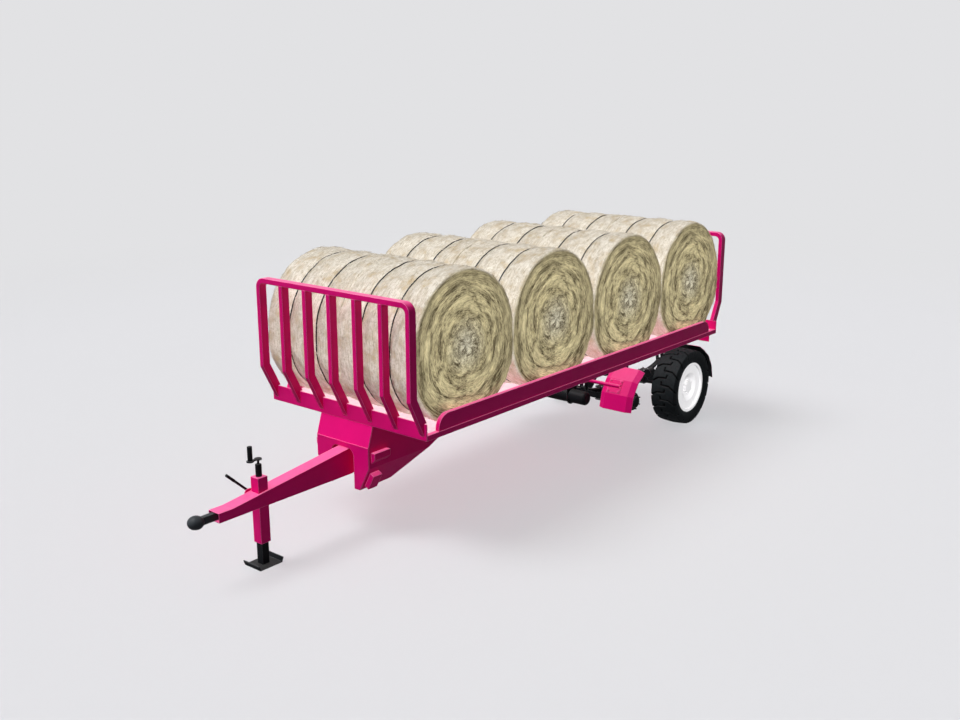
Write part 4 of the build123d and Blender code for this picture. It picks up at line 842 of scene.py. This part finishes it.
class TRAILER_OT_fasteners(bpy.types.Operator):
    """Fit the wheel nuts, clamp nuts and bolts"""
    bl_idname = "trailer.fasteners"
    bl_label = "Fit the fasteners"

    def execute(self, context):
        for side_name, side in SIDES:
            self.wheel(side_name, side)
        self.chassis()
        return {"FINISHED"}

    def wheel(self, side_name, side):
        """Six cap nuts over the wheel's studs."""
        low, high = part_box(f"hub_rear_{side_name}")
        centre = (np.array(low) + np.array(high)) / 2
        outer = high[1] if side > 0 else low[1]
        centre[1] = outer - side * CAP_NUT_SEAT
        nuts = [hex_nut(place, (0, side, 0), NUT_FLATS, CAP_NUT_HEIGHT)
                for place in places_round(centre, STUD_CIRCLE_RADIUS, STUD_COUNT, 30)]
        points, triangles = joined(nuts)
        make_piece(f"wheel_nuts_{side_name}", points, triangles, "white_rim_enamel", f"wheel_{side_name}",
                   flat_angle=35)

    def chassis(self):
        """Nuts on the spring clamps' rods, and bolts on the mudguards' saddles and the lamp plates."""
        nuts, bolts = [], []
        clamp_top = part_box("spring_clamps")[1][2] - CLAMP_ROD_END
        for name, forward in (("front", 1), ("rear", -1)):
            low, high = (np.array(corner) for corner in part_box(f"axle_{name}"))
            axle = (low + high) / 2
            out = np.array((forward * math.cos(GUARD_TILT), 0, math.sin(GUARD_TILT)))
            down = np.array((forward * math.sin(GUARD_TILT), 0, -math.cos(GUARD_TILT)))
            for side in (-1, 1):
                for along in (-1, 1):
                    for across in (-1, 1):
                        place = (axle[0] + CLAMP_ROD_ALONG * along,
                                 side * SPRING_PLACE + CLAMP_ROD_ACROSS * across, clamp_top)
                        nuts.append(hex_nut(place, (0, 0, 1), NUT_FLATS, 0.012))
                        saddle = axle + GUARD_RADIUS * out + np.array((0, side * GUARD_PLACE, 0))
                        place = (saddle + SADDLE_BOLT_ALONG * along * down
                                 + np.array((0, SADDLE_BOLT_ACROSS * across, 0)))
                        bolts.append(hex_nut(place, out, BOLT_FLATS, 0.014))
        low, high = (np.array(corner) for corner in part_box("lamp_plates"))
        for side in (-1, 1):
            for across in (-LAMP_BOLT_ACROSS, LAMP_BOLT_ACROSS):
                place = (high[0], side * LAMP_PLACE + across, high[2] - LAMP_BOLT_DROP)
                nuts.append(hex_nut(place, (1, 0, 0), LAMP_NUT_FLATS, 0.009))
        points, triangles = joined(nuts)
        make_piece("chassis_nuts", points, triangles, "zinc_plated_steel", "chassis",
                   flat_angle=35)
        points, triangles = joined(bolts)
        make_piece("saddle_bolts", points, triangles, "powder_coated_steel", "chassis",
                   flat_angle=35)


class TRAILER_OT_welds(bpy.types.Operator):
    """Run the weld beads along the main seams"""
    bl_idname = "trailer.welds"
    bl_label = "Run the welds"

    def execute(self, context):
        beads = []
        for end, forward in (("front", 1), ("rear", -1)):
            low, high = (np.array(corner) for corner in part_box(f"{end}_gate_bars"))
            hoop_low, hoop_high = (np.array(corner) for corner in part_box(f"{end}_gate_hoop"))
            outer = hoop_high[0] if forward > 0 else hoop_low[0]
            inner = outer - forward * GATE_BAR_DEPTH
            spread = high[1] - low[1] - 2 * GATE_BAR_HALF
            for i in range(GATE_BAR_COUNT):
                bar = low[1] + GATE_BAR_HALF + i * spread / (GATE_BAR_COUNT - 1)
                right, left = bar - GATE_BAR_HALF, bar + GATE_BAR_HALF
                for x in (outer - forward * 0.002, inner + forward * 0.002):
                    beads.append(bead(straight((x, right, high[2]), (x, left, high[2]), 0.003),
                                      (0, 0, 1), 0.004, 0.006))
                for y in (right, left):
                    beads.append(bead(straight((outer, y, high[2]), (inner, y, high[2]), 0.003),
                                      (0, 0, 1), 0.004, 0.006))
        low, high = (np.array(corner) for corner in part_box("headstock_top_plate"))
        beads.append(bead(straight((high[0], low[1], low[2]), (high[0], high[1], low[2]), 0.004),
                          (0, 0, 1), 0.006, 0.008))
        points, triangles = joined(beads)
        make_piece("weld_beads", points, triangles, "powder_coated_steel", "chassis")
        return {"FINISHED"}


class TRAILER_OT_stage(bpy.types.Operator):
    """Set the floor, the light and the camera"""
    bl_idname = "trailer.stage"
    bl_label = "Set the stage"

    def execute(self, context):
        settings = context.scene.trailer_stage
        self.floor(settings)
        self.light(settings)
        self.camera(context, settings)
        context.scene.view_settings.view_transform = "Standard"
        return {"FINISHED"}

    def floor(self, settings):
        """A round floor that sweeps up into a wall: level to 26 m, a quarter circle of 12 m, then upright.

        The floor is lit by the lamps. The wall gives the camera an even pale backdrop, and the trailer a dim
        surround. Both are darker to the trailer than to the camera, so that its shaded sides stay deep in
        colour.
        """
        turn = np.linspace(0, TAU / 4, 16)
        reach = np.concatenate([[0.0, 8.0, 16.0], 26 + 12 * np.sin(turn), [38.0]])
        rise = np.concatenate([[0.0, 0.0, 0.0], 12 * (1 - np.cos(turn)), [30.0]])
        angle = np.arange(96) * TAU / 96
        points = np.stack(np.broadcast_arrays(
            reach[:, None] * np.cos(angle), reach[:, None] * np.sin(angle), rise[:, None]), axis=-1)
        points, triangles, _ = shell(points)
        mesh = bpy.data.meshes.new("floor")
        mesh.from_pydata(points.tolist(), [], triangles[:, ::-1].tolist())
        mesh.shade_smooth()
        material, tree, out, place = new_finish("pale_studio_floor")
        ray = add(tree, "ShaderNodeLightPath")
        colour = add(tree, "ShaderNodeMix", {MIX_SHARE: ray.outputs["Is Camera Ray"]}, data_type="RGBA",
                     values={MIX_FIRST: linear(settings.shade), MIX_SECOND: linear(settings.floor)})
        lit = add(tree, "ShaderNodeBsdfDiffuse", {"Color": colour.outputs[MIX_RESULT]})
        seen = add(tree, "ShaderNodeMath", {0: ray.outputs["Is Camera Ray"], 1: ray.outputs["Is Glossy Ray"]},
                   operation="MAXIMUM")
        strength = add(tree, "ShaderNodeMapRange", {"Value": seen.outputs["Value"]},
                       {"To Min": settings.surround, "To Max": 1.0})
        glow = add(tree, "ShaderNodeEmission", {"Strength": strength.outputs["Result"]},
                   {"Color": linear(settings.wall)})
        from_middle = add(tree, "ShaderNodeVectorMath", {0: place}, operation="LENGTH")
        distance = add(tree, "ShaderNodeMapRange", {"Value": from_middle.outputs["Value"]},
                       {"From Min": 8.0, "From Max": 24.0}, interpolation_type="SMOOTHSTEP")
        surface = add(tree, "ShaderNodeMixShader", {0: distance.outputs["Result"], 1: lit.outputs["BSDF"],
                                                    2: glow.outputs["Emission"]})
        tree.links.new(surface.outputs["Shader"], out.inputs["Surface"])
        mesh.materials.append(material)
        floor = bpy.data.objects.new("floor", mesh)
        floor.visible_shadow = False
        bpy.context.scene.collection.objects.link(floor)

    def light(self, settings):
        """A wide key light from high over the front right, fills on straw and rims, and a dim surround.

        Most of the key throws no shadow, as in a bright studio, and falls on all but straw, rims and wheel
        nuts. The rest draws the shadow on the floor.
        """
        self.sun("key", KEY_WAY, settings.key, settings.key_spread)
        open_key = self.sun("open_key", KEY_WAY, settings.open_key, settings.key_spread, throws_shadow=False)
        fill = self.sun("fill", FILL_WAY, settings.fill, settings.fill_spread, throws_shadow=False)
        far_fill = self.sun("far_fill", FAR_FILL_WAY, settings.far_fill, settings.fill_spread,
                            throws_shadow=False)
        straw = bpy.data.collections.new("straw_and_rims")
        rest = bpy.data.collections.new("steel_rubber_and_floor")
        for piece in bpy.context.scene.collection.all_objects:
            if piece.type == "MESH":
                pale = piece.name.startswith(("straw_", "rim_", "wheel_nuts_"))
                (straw if pale else rest).objects.link(piece)
        fill.light_linking.receiver_collection = straw
        far_fill.light_linking.receiver_collection = straw
        open_key.light_linking.receiver_collection = rest
        world = bpy.data.worlds.new("studio")
        world.use_nodes = True
        world.node_tree.nodes["Background"].inputs["Color"].default_value = (1, 1, 1, 1)
        world.node_tree.nodes["Background"].inputs["Strength"].default_value = settings.surround
        bpy.context.scene.world = world

    def sun(self, name, way, strength, spread, throws_shadow=True):
        """A light that shines along the given direction, evenly everywhere."""
        lamp = bpy.data.lights.new(name, "SUN")
        lamp.energy = strength
        lamp.angle = spread
        lamp.use_shadow = throws_shadow
        holder = bpy.data.objects.new(name, lamp)
        holder.rotation_euler = Vector(way).to_track_quat("-Z", "Y").to_euler()
        bpy.context.scene.collection.objects.link(holder)
        return holder

    def camera(self, context, settings):
        """The photograph's camera: its place, bearing and lens."""
        level = math.cos(settings.elevation)
        back = Vector((math.sin(settings.azimuth) * level, -math.cos(settings.azimuth) * level,
                       math.sin(settings.elevation)))
        eye = bpy.data.cameras.new("photo_camera")
        eye.sensor_width = 36.0
        eye.lens = settings.lens
        eye.clip_end = 200.0
        holder = bpy.data.objects.new("photo_camera", eye)
        holder.location = CAMERA_PLACE
        holder.rotation_euler = back.to_track_quat("Z", "Y").to_euler()
        bpy.context.scene.collection.objects.link(holder)
        context.scene.camera = holder


class TRAILER_PT_panel(bpy.types.Panel):
    """The steps, in order"""
    bl_idname = "TRAILER_PT_panel"
    bl_label = "Bale Trailer"
    bl_space_type = "VIEW_3D"
    bl_region_type = "UI"
    bl_category = "Bale Trailer"

    def draw(self, context):
        for step in STEPS:
            self.layout.operator(step.bl_idname)


STEPS = (TRAILER_OT_paint, TRAILER_OT_bales, TRAILER_OT_tyres, TRAILER_OT_fasteners, TRAILER_OT_welds,
         TRAILER_OT_stage)
SETTINGS = {"trailer_paint": PaintSettings, "trailer_bales": BaleSettings, "trailer_tyres": TyreSettings,
            "trailer_stage": StageSettings}


def register():
    for group in (*SETTINGS.values(), *STEPS, TRAILER_PT_panel):
        bpy.utils.register_class(group)
    for name, group in SETTINGS.items():
        setattr(bpy.types.Scene, name, PointerProperty(type=group))


def unregister():
    for name in SETTINGS:
        delattr(bpy.types.Scene, name)
    for group in reversed((*SETTINGS.values(), *STEPS, TRAILER_PT_panel)):
        bpy.utils.unregister_class(group)


def main():
    """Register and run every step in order."""
    register()
    for step in STEPS:
        area, name = step.bl_idname.split(".")
        getattr(getattr(bpy.ops, area), name)()


if __name__ == "__main__":
    main()
